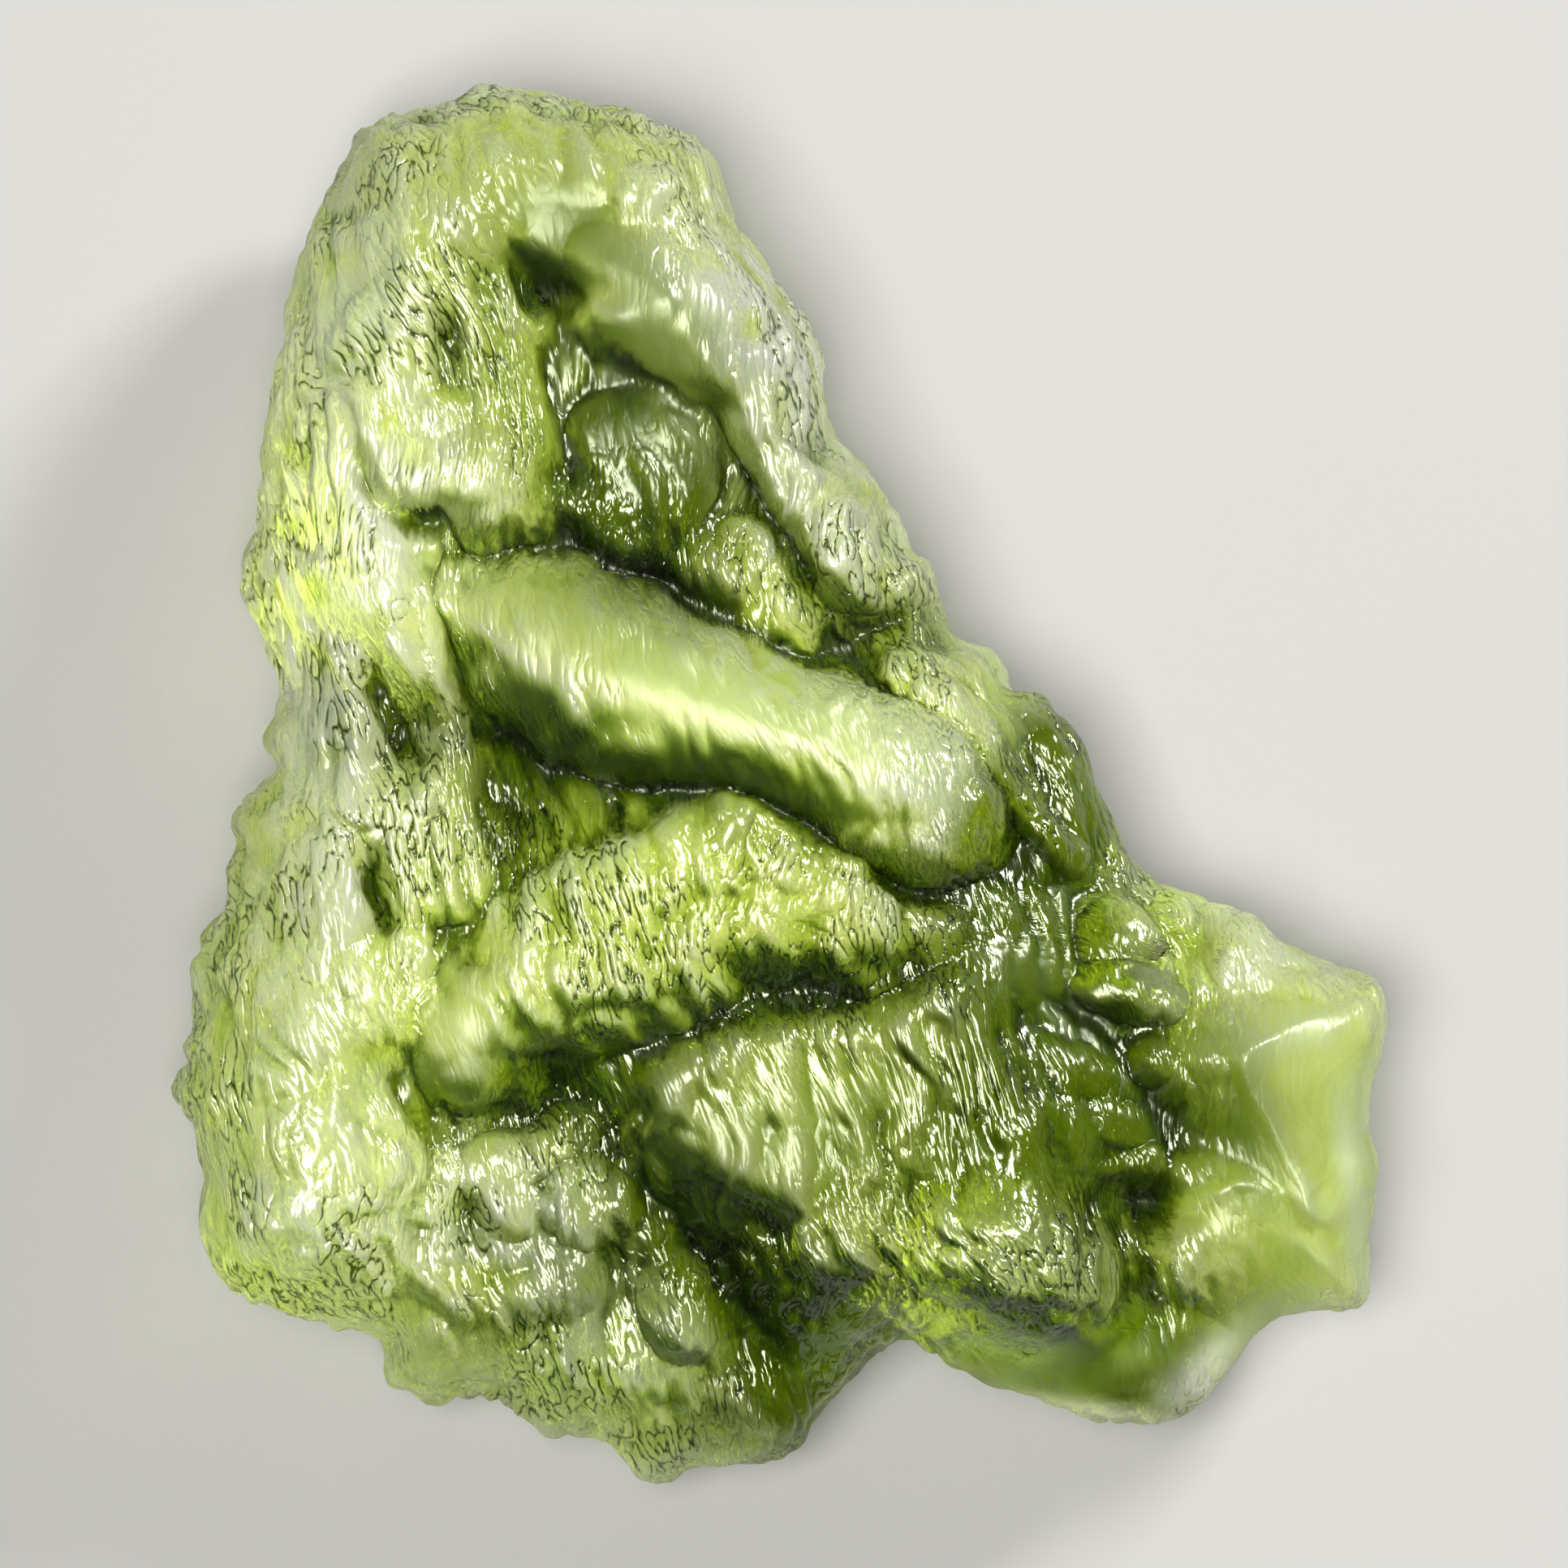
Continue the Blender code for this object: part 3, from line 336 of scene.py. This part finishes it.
def smooth_line(rows, steps, closed):
    """A Catmull-Rom curve through the rows, with every column carried along."""
    points = place(rows)
    if closed:
        before, start, end, after = (np.roll(points, shift, axis=0) for shift in (1, 0, -1, -2))
    else:
        points = np.vstack([2 * points[0] - points[1], points, 2 * points[-1] - points[-2]])
        before, start, end, after = points[:-3], points[1:-2], points[2:-1], points[3:]
    t = (np.arange(steps) / steps)[None, :, None]
    before, start, end, after = (part[:, None, :] for part in (before, start, end, after))
    line = 0.5 * (2 * start + (end - before) * t + (2 * before - 5 * start + 4 * end - after) * t**2
                  + (3 * start - before - 3 * end + after) * t**3)
    line = line.reshape(-1, points.shape[1])
    last = line[:1] if closed else points[-2:-1]
    return np.vstack([line, last])


def nearest(x, y, line):
    """Distance to a line, the side of it from -1 to 1, and the line's other columns there."""
    best = np.full(x.shape, 1e9)
    side = np.zeros(x.shape)
    carried = np.zeros(x.shape + (line.shape[1] - 2,))
    for start, end in zip(line[:-1], line[1:]):
        run = end - start
        length = np.hypot(run[0], run[1]) + 1e-9
        t = np.clip(((x - start[0]) * run[0] + (y - start[1]) * run[1]) / length**2, 0, 1)
        away_x = x - start[0] - t * run[0]
        away_y = y - start[1] - t * run[1]
        distance = np.hypot(away_x, away_y)
        closer = distance < best
        best = np.where(closer, distance, best)
        turn = (run[0] * away_y - run[1] * away_x) / length / (distance + 1e-6)
        side = np.where(closer, turn, side)
        if carried.shape[-1]:
            carried = np.where(closer[..., None], start[2:] + t[..., None] * run[2:], carried)
    return best, side, carried


def inside(x, y, ring):
    """Whether each point lies inside a closed line."""
    odd = np.zeros(x.shape, dtype=bool)
    for start, end in zip(ring[:-1], ring[1:]):
        crosses = (start[1] > y) != (end[1] > y)
        slope = (end[0] - start[0]) / (end[1] - start[1] + 1e-12)
        odd ^= crosses & (x < start[0] + (y - start[1]) * slope)
    return odd


def rounding(share):
    """A quarter circle's fall, from 0 at share 0 to 1 at share 1."""
    return 1 - np.sqrt(1 - np.clip(share, 0, 1) ** 2 * 0.9999)


def join(low, high, seam):
    """The higher of two surfaces, with a soft seam of the given width."""
    return 0.5 * (low + high + np.sqrt((low - high) ** 2 + seam**2))


def roll(x, y, form):
    """A bar with a round back along a smooth line, narrower and lower where its rows say."""
    rows, fall, steepness = form
    distance, side, carried = nearest(x, y, smooth_line(rows, 6, closed=False))
    crest, left, right = carried[..., 0], carried[..., 1], carried[..., 2]
    width = right + (left - right) * (0.5 + 0.5 * side)
    return crest - rounding(distance / width) * fall - np.maximum(distance - width, 0) * steepness


def slab(x, y, form):
    """A sloping plane inside a smooth closed line, with a round shoulder and steep sides."""
    rows, top, rise, shoulder, steepness = form
    ring = smooth_line(rows, 5, closed=True)
    distance = nearest(x, y, ring)[0]
    out = np.where(inside(x, y, ring), -distance, distance)
    middle = ring[:-1].mean(axis=0)
    plane = top + (x - middle[0]) * rise[0] + (y - middle[1]) * rise[1]
    fall = rounding((out + shoulder) / shoulder) * shoulder
    return plane - fall - np.maximum(out, 0) * steepness


def ellipse(x, y, middle, half_length, half_width, turn):
    """Squared distance from an ellipse's middle, 1 on its edge."""
    cosine, sine = np.cos(np.radians(turn)), np.sin(np.radians(turn))
    along = ((x - middle[0]) * cosine + (y - middle[1]) * sine) / half_length
    across = ((y - middle[1]) * cosine - (x - middle[0]) * sine) / half_width
    return along**2 + across**2


def add_lumps(z, x, y, rows, fall, seam):
    """The surface with each row's lump joined to it."""
    for px, py, half_length, half_width, crest, turn in place(rows):
        share = np.sqrt(ellipse(x, y, (px, py), half_length, half_width, turn))
        beyond = np.maximum(share - 1, 0) * min(half_length, half_width)
        z = join(z, crest - rounding(share) * fall - beyond * LUMP_STEEPNESS, seam)
    return z


def spots(x, y, rows):
    """The sum of the rows' bell-shaped swells, each with its height at its middle."""
    total = np.zeros(x.shape)
    for px, py, half_length, half_width, height, turn in place(rows):
        total += height * np.exp(-1.2 * ellipse(x, y, (px, py), half_length, half_width, turn))
    return total


def scramble(i, j, k, seed):
    """A fixed number from 0 to 1 for each whole-number cell."""
    mixed = (i * 73856093) ^ (j * 19349663) ^ (k * 83492791) ^ (seed * 2654435761)
    mixed = (mixed ^ (mixed >> 13)) * 1274126177
    return ((mixed ^ (mixed >> 16)) & 0xFFFFFF) / float(0xFFFFFF)


def noise(points, seed):
    """Smooth value noise from -1 to 1, one wave per unit."""
    cell = np.floor(points).astype(np.int64)
    part = points - cell
    part = part**3 * (part * (part * 6 - 15) + 10)
    total = 0
    for corner in np.ndindex(2, 2, 2):
        weight = np.prod(np.where(np.array(corner), part, 1 - part), axis=-1)
        total = total + weight * scramble(*(cell + np.array(corner)).T, seed)
    return total * 2 - 1


def cells(points, seed):
    """Distance from the nearest of scattered seats, 0 on a seat."""
    home = np.floor(points).astype(np.int64)
    first = np.full(len(points), 9.0)
    for step in np.ndindex(3, 3, 3):
        cell = home + np.array(step) - 1
        seat = cell + np.stack([scramble(*cell.T, seed + axis) for axis in range(3)], axis=-1)
        first = np.minimum(first, np.linalg.norm(points - seat, axis=-1))
    return first


def wander(x, y):
    """The plan bent by slow noise, so that no form has a ruled edge."""
    bent_x, bent_y = x, y
    for seed, (wavelength, reach) in enumerate(BEND):
        points = np.stack([x / wavelength, y / wavelength, np.zeros_like(x)], axis=-1)
        bent_x = bent_x + reach * noise(points, 5 + 2 * seed)
        bent_y = bent_y + reach * noise(points, 6 + 2 * seed)
    return bent_x, bent_y


def face_forms(x, y):
    """Height of the sculpted face, before its edge is rounded."""
    z = GROUND + spots(x, y, SWELLS)
    z = join(z, slab(x, y, LEFT_FLANGE), BROAD_SEAM)
    z = join(z, slab(x, y, RIGHT_RIDGE), WIDE_SEAM)
    z = join(z, slab(x, y, LOWER_SLAB), WIDE_SEAM)
    z = join(z, roll(x, y, LEFT_CREST), BROAD_SEAM)
    z = join(z, roll(x, y, TOP_RIM), BROAD_SEAM)
    z = join(z, roll(x, y, RIM_FLANGE), SEAM)
    z = join(z, roll(x, y, KNOB_RIDGE), SEAM)
    z = add_lumps(z, x, y, VALLEY_LUMPS + GAP_LUMPS + RIGHT_LUMPS + FOOT_LOBES, LUMP_FALL, BROAD_SEAM)
    z = add_lumps(z, x, y, SCALES, SCALE_FALL, BROAD_SEAM)
    z = add_lumps(z, x, y, SLAB_DOME, DOME_FALL, BROAD_SEAM)
    for form in (BROKEN_END, BROKEN_FLANK, BROKEN_LEDGE, BROKEN_PLATE):
        z = join(z, slab(x, y, form), SHARP_SEAM)
    z = join(z, slab(x, y, SECOND_ROLL), SEAM)
    z = add_lumps(z, x, y, SECOND_BULGE, DOME_FALL, BROAD_SEAM)
    z = join(z, roll(x, y, SECOND_CREST), BROAD_SEAM)
    z = join(z, roll(x, y, MIDDLE_ROLL), SEAM)
    return z + spots(x, y, PITS)


def back_forms(x, y):
    """Height of the back, below zero at the worn spots, before its edge is rounded."""
    z = BACK_HEIGHT + spots(x, y, BACK_SWELLS) + spots(x, y, WORN_SPOTS)
    for seed, (wavelength, height) in enumerate(BACK_WAVES):
        points = np.stack([x / wavelength, y / wavelength, np.zeros_like(x)], axis=-1)
        z = z + height * noise(points, 40 + seed)
    return z


def edge_distance(x, y, ring):
    """How far inside the outline each point lies."""
    return np.where(inside(x, y, ring), nearest(x, y, ring)[0], 0.0)


def rounded_edge(x, y, forms, ring, width):
    """Forms that curve over to the rim's height at the outline."""
    rim = RIM_HEIGHT + spots(x, y, RIM_SWELLS)
    share = 1 - np.clip(edge_distance(x, y, ring) / width, 0, 1)
    return rim + (forms - rim) * np.sqrt(1 - share**2)


def ring_plan(outline, rings, reach):
    """Plan points of a middle point and rings that grow to the outline times reach.

    Ring k has FIRST_RING_SIDES times k points, evenly spaced along the outline.
    """
    heart = place([HEART])[0]
    along = np.concatenate([[0], np.cumsum(np.hypot(*np.diff(outline, axis=0).T))])
    plan = [heart[None, :]]
    for k in range(1, rings + 1):
        count = FIRST_RING_SIDES * k
        at = np.arange(count) / count * along[-1]
        edge = np.stack([np.interp(at, along, outline[:, axis]) for axis in (0, 1)], axis=-1)
        share = k / rings * reach
        scale = (1 - EDGE_CROWDING) * share + EDGE_CROWDING * np.sin(np.pi / 2 * share)
        plan.append(heart + scale * (edge - heart))
    return np.vstack(plan)


def ring_start(k):
    """Index of the first point of ring k, where ring 0 is the middle point."""
    return 0 if k == 0 else 1 + FIRST_RING_SIDES * k * (k - 1) // 2


def ring_faces(rings):
    """Triangles between neighbouring clockwise rings, anticlockwise seen from above."""
    faces = []
    for k in range(1, rings + 1):
        outer, inner = ring_start(k), ring_start(k - 1)
        outer_count = FIRST_RING_SIDES * k
        inner_count = max(FIRST_RING_SIDES * (k - 1), 1)
        sector, step = np.divmod(np.arange(outer_count), k)
        a = outer + np.arange(outer_count)
        b = outer + (np.arange(outer_count) + 1) % outer_count
        c = inner + (sector * (k - 1) + step) % inner_count
        faces.append(np.stack([b, a, c], axis=-1))
        within = step < k - 1
        d = inner + (sector * (k - 1) + step + 1) % inner_count
        faces.append(np.stack([d[within], b[within], c[within]], axis=-1))
    return np.vstack(faces)


def seam_faces(fine, coarse):
    """Triangles from a ring of points to one with half as many, both in the same order."""
    half = len(coarse)
    this, after = np.arange(half), (np.arange(half) + 1) % half
    left, mid, right = fine[2 * this], fine[2 * this + 1], fine[2 * after]
    return np.vstack([
        np.stack([left, mid, coarse[this]], axis=-1),
        np.stack([mid, coarse[after], coarse[this]], axis=-1),
        np.stack([mid, right, coarse[after]], axis=-1)])


def vertex_normals(points, faces):
    """Unit normals, each the sum of its faces' areas."""
    corners = points[faces]
    area = np.cross(corners[:, 1] - corners[:, 0], corners[:, 2] - corners[:, 0])
    total = np.zeros_like(points)
    for corner in range(3):
        np.add.at(total, faces[:, corner], area)
    return total / np.linalg.norm(total, axis=1, keepdims=True)


def flow_space(points, length, reach):
    """Points measured along the flow, across it and up, with a sway of that wavelength and reach."""
    x, y, z = points.T
    angle = np.radians(FLOW_ANGLE)
    along = x * np.cos(angle) + y * np.sin(angle) + reach * noise(points / length, 51)
    across = y * np.cos(angle) - x * np.sin(angle) + reach * noise(points / length, 52)
    return np.stack([along, across, z], axis=-1)


def etched_share(points):
    """How strongly the finest lines are etched, from 0 to 1: in patches, and hardly where worn."""
    patch = np.clip(PATCH_LEVEL * (1 + noise(points / FINE_PATCH, 71)), FAINTEST_PATCH, 1)
    return patch * (1 - FINE_SMOOTHING * np.clip(spots(points[:, 0], points[:, 1], SMOOTH_SKIN), 0, 1))


def corrosion(points):
    """How far the skin stands out: cells, creases and lines drawn out along the flow."""
    flow = flow_space(points, SWAY_LENGTH, SWAY_REACH)
    x, y = points[:, 0], points[:, 1]
    dome = 1 - cells(flow / CELL, 21) ** 1.5
    crease = 2 * np.abs(noise(flow / CREASE, 33)) - 1
    line = 0.5 - cells(flow_space(points, FINE_SWAY_LENGTH, FINE_SWAY_REACH) / LINE, 61)
    rough = 1 - SMOOTHING * np.clip(spots(x, y, SMOOTH_SPOTS), 0, 1)
    return rough * (CELL_HEIGHT * dome + CREASE_HEIGHT * crease) + etched_share(points) * LINE_HEIGHT * line


def stone():
    """Points and triangles of the whole closed shell, in millimetres."""
    outline = smooth_line(OUTLINE, 3, closed=True)
    face_plan = ring_plan(outline, FACE_RINGS, 1.0)
    back_plan = ring_plan(outline, BACK_RINGS, 1.0 - BACK_INSET / BACK_RINGS)

    x, y = face_plan.T
    width = RIM_ROUNDING + spots(x, y, ROUNDING_SPOTS)
    face_z = rounded_edge(x, y, face_forms(*wander(x, y)), outline, width)
    x, y = back_plan.T
    back_z = rounded_edge(x, y, back_forms(x, y), outline, BACK_ROUNDING)
    points = np.vstack([np.column_stack([face_plan, face_z]), np.column_stack([back_plan, back_z])])

    face = ring_faces(FACE_RINGS)
    back = ring_faces(BACK_RINGS)[:, ::-1] + len(face_plan)
    rim = np.arange(ring_start(FACE_RINGS), len(face_plan))
    back_edge = np.arange(ring_start(BACK_RINGS), len(back_plan)) + len(face_plan)
    faces = np.vstack([face, back, seam_faces(rim, back_edge)])

    points = points + vertex_normals(points, faces) * corrosion(points)[:, None]
    points[:, 2] = np.maximum(points[:, 2], 0.0)
    return points, faces


def linear(hexcode):
    """An sRGB hex colour as linear red, green, blue and alpha."""
    value = np.array([int(hexcode[i:i + 2], 16) for i in (1, 3, 5)]) / 255
    value = np.where(value <= 0.04045, value / 12.92, ((value + 0.055) / 1.055) ** 2.4)
    return (*value.tolist(), 1.0)


def add_node(tree, kind, settings=None, **links):
    """A node of the given kind, with its settings made and its named inputs given a value or a link."""
    node = tree.nodes.new(kind)
    for name, value in (settings or {}).items():
        setattr(node, name, value)
    for name, value in links.items():
        socket = node.inputs[name.replace("_", " ")]
        if isinstance(value, bpy.types.NodeSocket):
            tree.links.new(value, socket)
        else:
            socket.default_value = value
    return node


def multiply(tree, first, second):
    """The product of two values."""
    node = tree.nodes.new("ShaderNodeMath")
    node.operation = "MULTIPLY"
    tree.links.new(first, node.inputs[0])
    tree.links.new(second, node.inputs[1])
    return node.outputs[0]


def local_mean(points, reach):
    """Mean height round each point: heights blurred over the plan by a bell curve of that reach."""
    step = 0.1  # the grid's, in millimetres
    low = points[:, :2].min(axis=0) - 4 * reach
    size = np.ceil((points[:, :2].max(axis=0) + 4 * reach - low) / step).astype(int)
    at = tuple(((points[:, :2] - low) / step).astype(int).T)
    waves = np.fft.fftfreq(size[0])[:, None] ** 2 + np.fft.rfftfreq(size[1])[None, :] ** 2
    bell = np.exp(-2 * np.pi**2 * waves * (reach / step) ** 2)
    blurred = []
    for values in (points[:, 2], np.ones(len(points))):
        grid = np.zeros(size)
        np.add.at(grid, at, values)
        blurred.append(np.fft.irfft2(np.fft.rfft2(grid) * bell, s=tuple(size))[at])
    return blurred[0] / blurred[1]


def hollow_share(points):
    """How far each point of the face lies below its surroundings, with 1 for a deep hollow."""
    hollow = np.zeros(len(points))
    face = slice(0, ring_start(FACE_RINGS + 1))
    for reach, depth in HOLLOWS:
        hollow[face] += (local_mean(points[face], reach) - points[face, 2]) / depth
    return hollow


def painted_lean_light(points, faces):
    """Painted light and shade by how far the skin leans to LEAN_WAY: the share of light kept."""
    lean, kept = np.transpose(LEANS)
    return np.interp(vertex_normals(points, faces) @ LEAN_WAY, lean, kept)


def skin_tint(points, faces, hollow, inland):
    """The skin's tint at each point, with painted light and shade from its height and lean, painted shade
    in deep spots, and frosting with a painted sheen in places.
    """
    # Painted shade in the hollows and painted light on the crests, fading out towards the rim
    hollow = hollow * np.clip(inland / RIM_FADE, 0, 1)
    at = [share for share, tint in HOLLOW_SHADE_TINTS]
    ramp = np.array([linear(tint) for share, tint in HOLLOW_SHADE_TINTS])
    tint = np.stack([np.interp(hollow, at, ramp[:, channel]) for channel in range(4)], axis=-1)
    # Frosting with a painted sheen: the tint drawn towards SILVER
    silver = np.clip(spots(points[:, 0], points[:, 1], SILVER_SPOTS), 0, 1)
    silver = np.maximum(silver, PALE_RIM_FROST_AND_SHEEN * np.clip(1 - inland / PALE_RIM, 0, 1))
    silver = silver * np.clip(FROST_AND_SHEEN_LEVEL + MOTTLE_STRENGTH * noise(points / MOTTLE, 81), 0, 1)
    silver = (silver * np.clip(1 - FROST_AND_SHEEN_FALL * hollow, 0, 1))[:, None]
    tint = tint + (np.array(linear(SILVER)) - tint) * silver
    # Painted shade in the deep spots
    deep = np.clip(spots(points[:, 0], points[:, 1], DEEP_SHADE_SPOTS), 0, 1)[:, None]
    tint = tint * (1 + (np.array(linear(DEEP_SHADE)) - 1) * deep)
    lip = np.clip(spots(points[:, 0], points[:, 1], LIP_SPOTS), 0, 1)[:, None]
    tint = tint + (np.array(linear(LIPS)) - tint) * lip
    # Where the painted light and shade of leaning shows: inland on the face, less where frosted or even
    painted_light_mask = np.clip(inland / RIM_FADE, 0, 1) ** 2
    painted_light_mask[ring_start(FACE_RINGS + 1):] = 0
    even = np.clip(spots(points[:, 0], points[:, 1], EVEN_SPOTS), 0, 1)
    painted_light_mask = painted_light_mask * (1 - FROST_AND_SHEEN_EVENNESS * silver[:, 0]) * (1 - even)
    # Painted light and shade from the lean
    light = 1 + (painted_lean_light(points, faces) - 1) * painted_light_mask
    return np.clip(tint * light[:, None] ** np.array(PAINTED_LIGHT_LOSS), 0, 1)


def moldavite_glass():
    """Natural glass etched by soil acids: clear bottle green, with a glossy, finely lined skin."""
    material = bpy.data.materials.new("etched moldavite glass")
    material.use_nodes = True
    tree = material.node_tree
    tree.nodes.clear()
    flow = add_node(tree, "ShaderNodeAttribute", {"attribute_name": "flow"})
    tint = add_node(tree, "ShaderNodeAttribute", {"attribute_name": "tint"})
    etching = add_node(tree, "ShaderNodeAttribute", {"attribute_name": "etching"})
    satin = add_node(tree, "ShaderNodeAttribute", {"attribute_name": "satin"})
    lines = add_node(tree, "ShaderNodeTexNoise", {"noise_type": "RIDGED_MULTIFRACTAL"},
                     Vector=flow.outputs["Vector"], Scale=1.0, Detail=2.0, Roughness=0.5,
                     Offset=1.0, Gain=1.0)
    grooves = multiply(tree, lines.outputs["Fac"], etching.outputs["Fac"])
    bump = add_node(tree, "ShaderNodeBump", {"invert": True}, Strength=1.0,
                    Distance=HAIR_DEPTH * MM, Height=grooves)
    # Painted shade in the narrow bottoms of the hair lines
    narrow = add_node(tree, "ShaderNodeMapRange", Value=grooves,
                      From_Min=HAIR_GROOVE[0], From_Max=HAIR_GROOVE[1])
    shade = add_node(tree, "ShaderNodeMix", {"data_type": "RGBA", "blend_type": "MULTIPLY"})
    tree.links.new(narrow.outputs["Result"], shade.inputs["Factor"])
    tree.links.new(tint.outputs["Color"], shade.inputs[6])
    shade.inputs[7].default_value = linear(GROOVE_SHADE)
    skin = add_node(tree, "ShaderNodeBsdfPrincipled", Base_Color=shade.outputs[2],
                    Roughness=satin.outputs["Fac"], IOR=GLASS_IOR, Transmission_Weight=TRANSMISSION,
                    Specular_Tint=linear(GLINT), Normal=bump.outputs["Normal"])
    depth = add_node(tree, "ShaderNodeVolumeAbsorption", Color=ABSORPTION, Density=ABSORPTION_DENSITY)
    add_node(tree, "ShaderNodeOutputMaterial", Surface=skin.outputs["BSDF"], Volume=depth.outputs["Volume"])
    return material


def floor_card():
    """Matt off-white card, which shows soft shadows and no reflections."""
    material = bpy.data.materials.new("matt off-white card")
    material.use_nodes = True
    shader = material.node_tree.nodes["Principled BSDF"]
    shader.inputs["Base Color"].default_value = linear(CARD)
    shader.inputs["Roughness"].default_value = CARD_ROUGHNESS
    return material


def add_values(mesh, name, kind, values):
    """One value for each point of the mesh, for its material to read."""
    field = {"FLOAT": "value", "FLOAT_VECTOR": "vector", "FLOAT_COLOR": "color"}[kind]
    mesh.attributes.new(name, kind, "POINT").data.foreach_set(field, values.astype(np.float32).ravel())


def make_stone():
    """The stone's skin, with its tint worked out at each point."""
    points, faces = stone()
    mesh = bpy.data.meshes.new("moldavite skin")
    mesh.from_pydata((points * MM).tolist(), [], faces.tolist())
    mesh.materials.append(moldavite_glass())
    mesh.shade_smooth()
    hollow = hollow_share(points)
    inland = edge_distance(points[:, 0], points[:, 1], smooth_line(OUTLINE, 3, closed=True))
    etching = etched_share(points)
    satin = np.interp(np.maximum(1 - etching, hollow - HOLLOW_SATIN), SATIN_RANGE, SATIN)
    flow = flow_space(points, FINE_SWAY_LENGTH, FINE_SWAY_REACH) / HAIR_LINE
    add_values(mesh, "flow", "FLOAT_VECTOR", flow)
    add_values(mesh, "etching", "FLOAT", etching)
    add_values(mesh, "satin", "FLOAT", satin)
    add_values(mesh, "tint", "FLOAT_COLOR", skin_tint(points, faces, hollow, inland))
    piece = bpy.data.objects.new("moldavite_skin", mesh)
    bpy.context.scene.collection.objects.link(piece)
    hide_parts("moldavite")
    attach(piece, "root")


def make_floor():
    """A level card that the stone lies on, just under its worn spots."""
    reach, drop = 0.6, -2e-5
    corners = [(-reach, -reach, drop), (reach, -reach, drop), (reach, reach, drop), (-reach, reach, drop)]
    mesh = bpy.data.meshes.new("card")
    mesh.from_pydata(corners, [], [(0, 1, 2, 3)])
    mesh.materials.append(floor_card())
    card = bpy.data.objects.new("card", mesh)
    bpy.context.scene.collection.objects.link(card)


def add_light(name, spot, side, power):
    """A square softbox that faces the stone."""
    data = bpy.data.lights.new(name, "AREA")
    data.size = side
    data.energy = power
    light = bpy.data.objects.new(name, data)
    light.location = spot
    light.rotation_euler = (Vector((0, 0, AIM_HEIGHT)) - Vector(spot)).to_track_quat("-Z", "Y").to_euler()
    bpy.context.scene.collection.objects.link(light)


def make_camera():
    """A camera straight above, whose view is as wide as the photograph."""
    data = bpy.data.cameras.new("camera")
    data.lens = LENS
    data.sensor_width = SENSOR
    data.clip_start = 0.01
    camera = bpy.data.objects.new("camera", data)
    view_width = 2 * PHOTO_MIDDLE * PIXEL * MM
    x, y = place([(PHOTO_MIDDLE, PHOTO_MIDDLE)])[0] * MM
    camera.location = (x, y, AIM_HEIGHT + view_width * LENS / SENSOR)
    bpy.context.scene.collection.objects.link(camera)
    bpy.context.scene.camera = camera


def make_studio():
    """Dim, pale surroundings and the softboxes."""
    world = bpy.data.worlds.new("studio")
    world.use_nodes = True
    world.node_tree.nodes["Background"].inputs["Color"].default_value = linear(SURROUNDINGS)
    world.node_tree.nodes["Background"].inputs["Strength"].default_value = SURROUNDINGS_STRENGTH
    bpy.context.scene.world = world
    for softbox in SOFTBOXES:
        add_light(*softbox)


def set_view():
    """Plain colours, and as many bounces as the glass needs."""
    scene = bpy.context.scene
    scene.view_settings.view_transform = "Standard"
    scene.cycles.max_bounces = 7
    scene.cycles.transmission_bounces = 7
    scene.cycles.diffuse_bounces = 3


make_stone()
make_floor()
make_camera()
make_studio()
set_view()
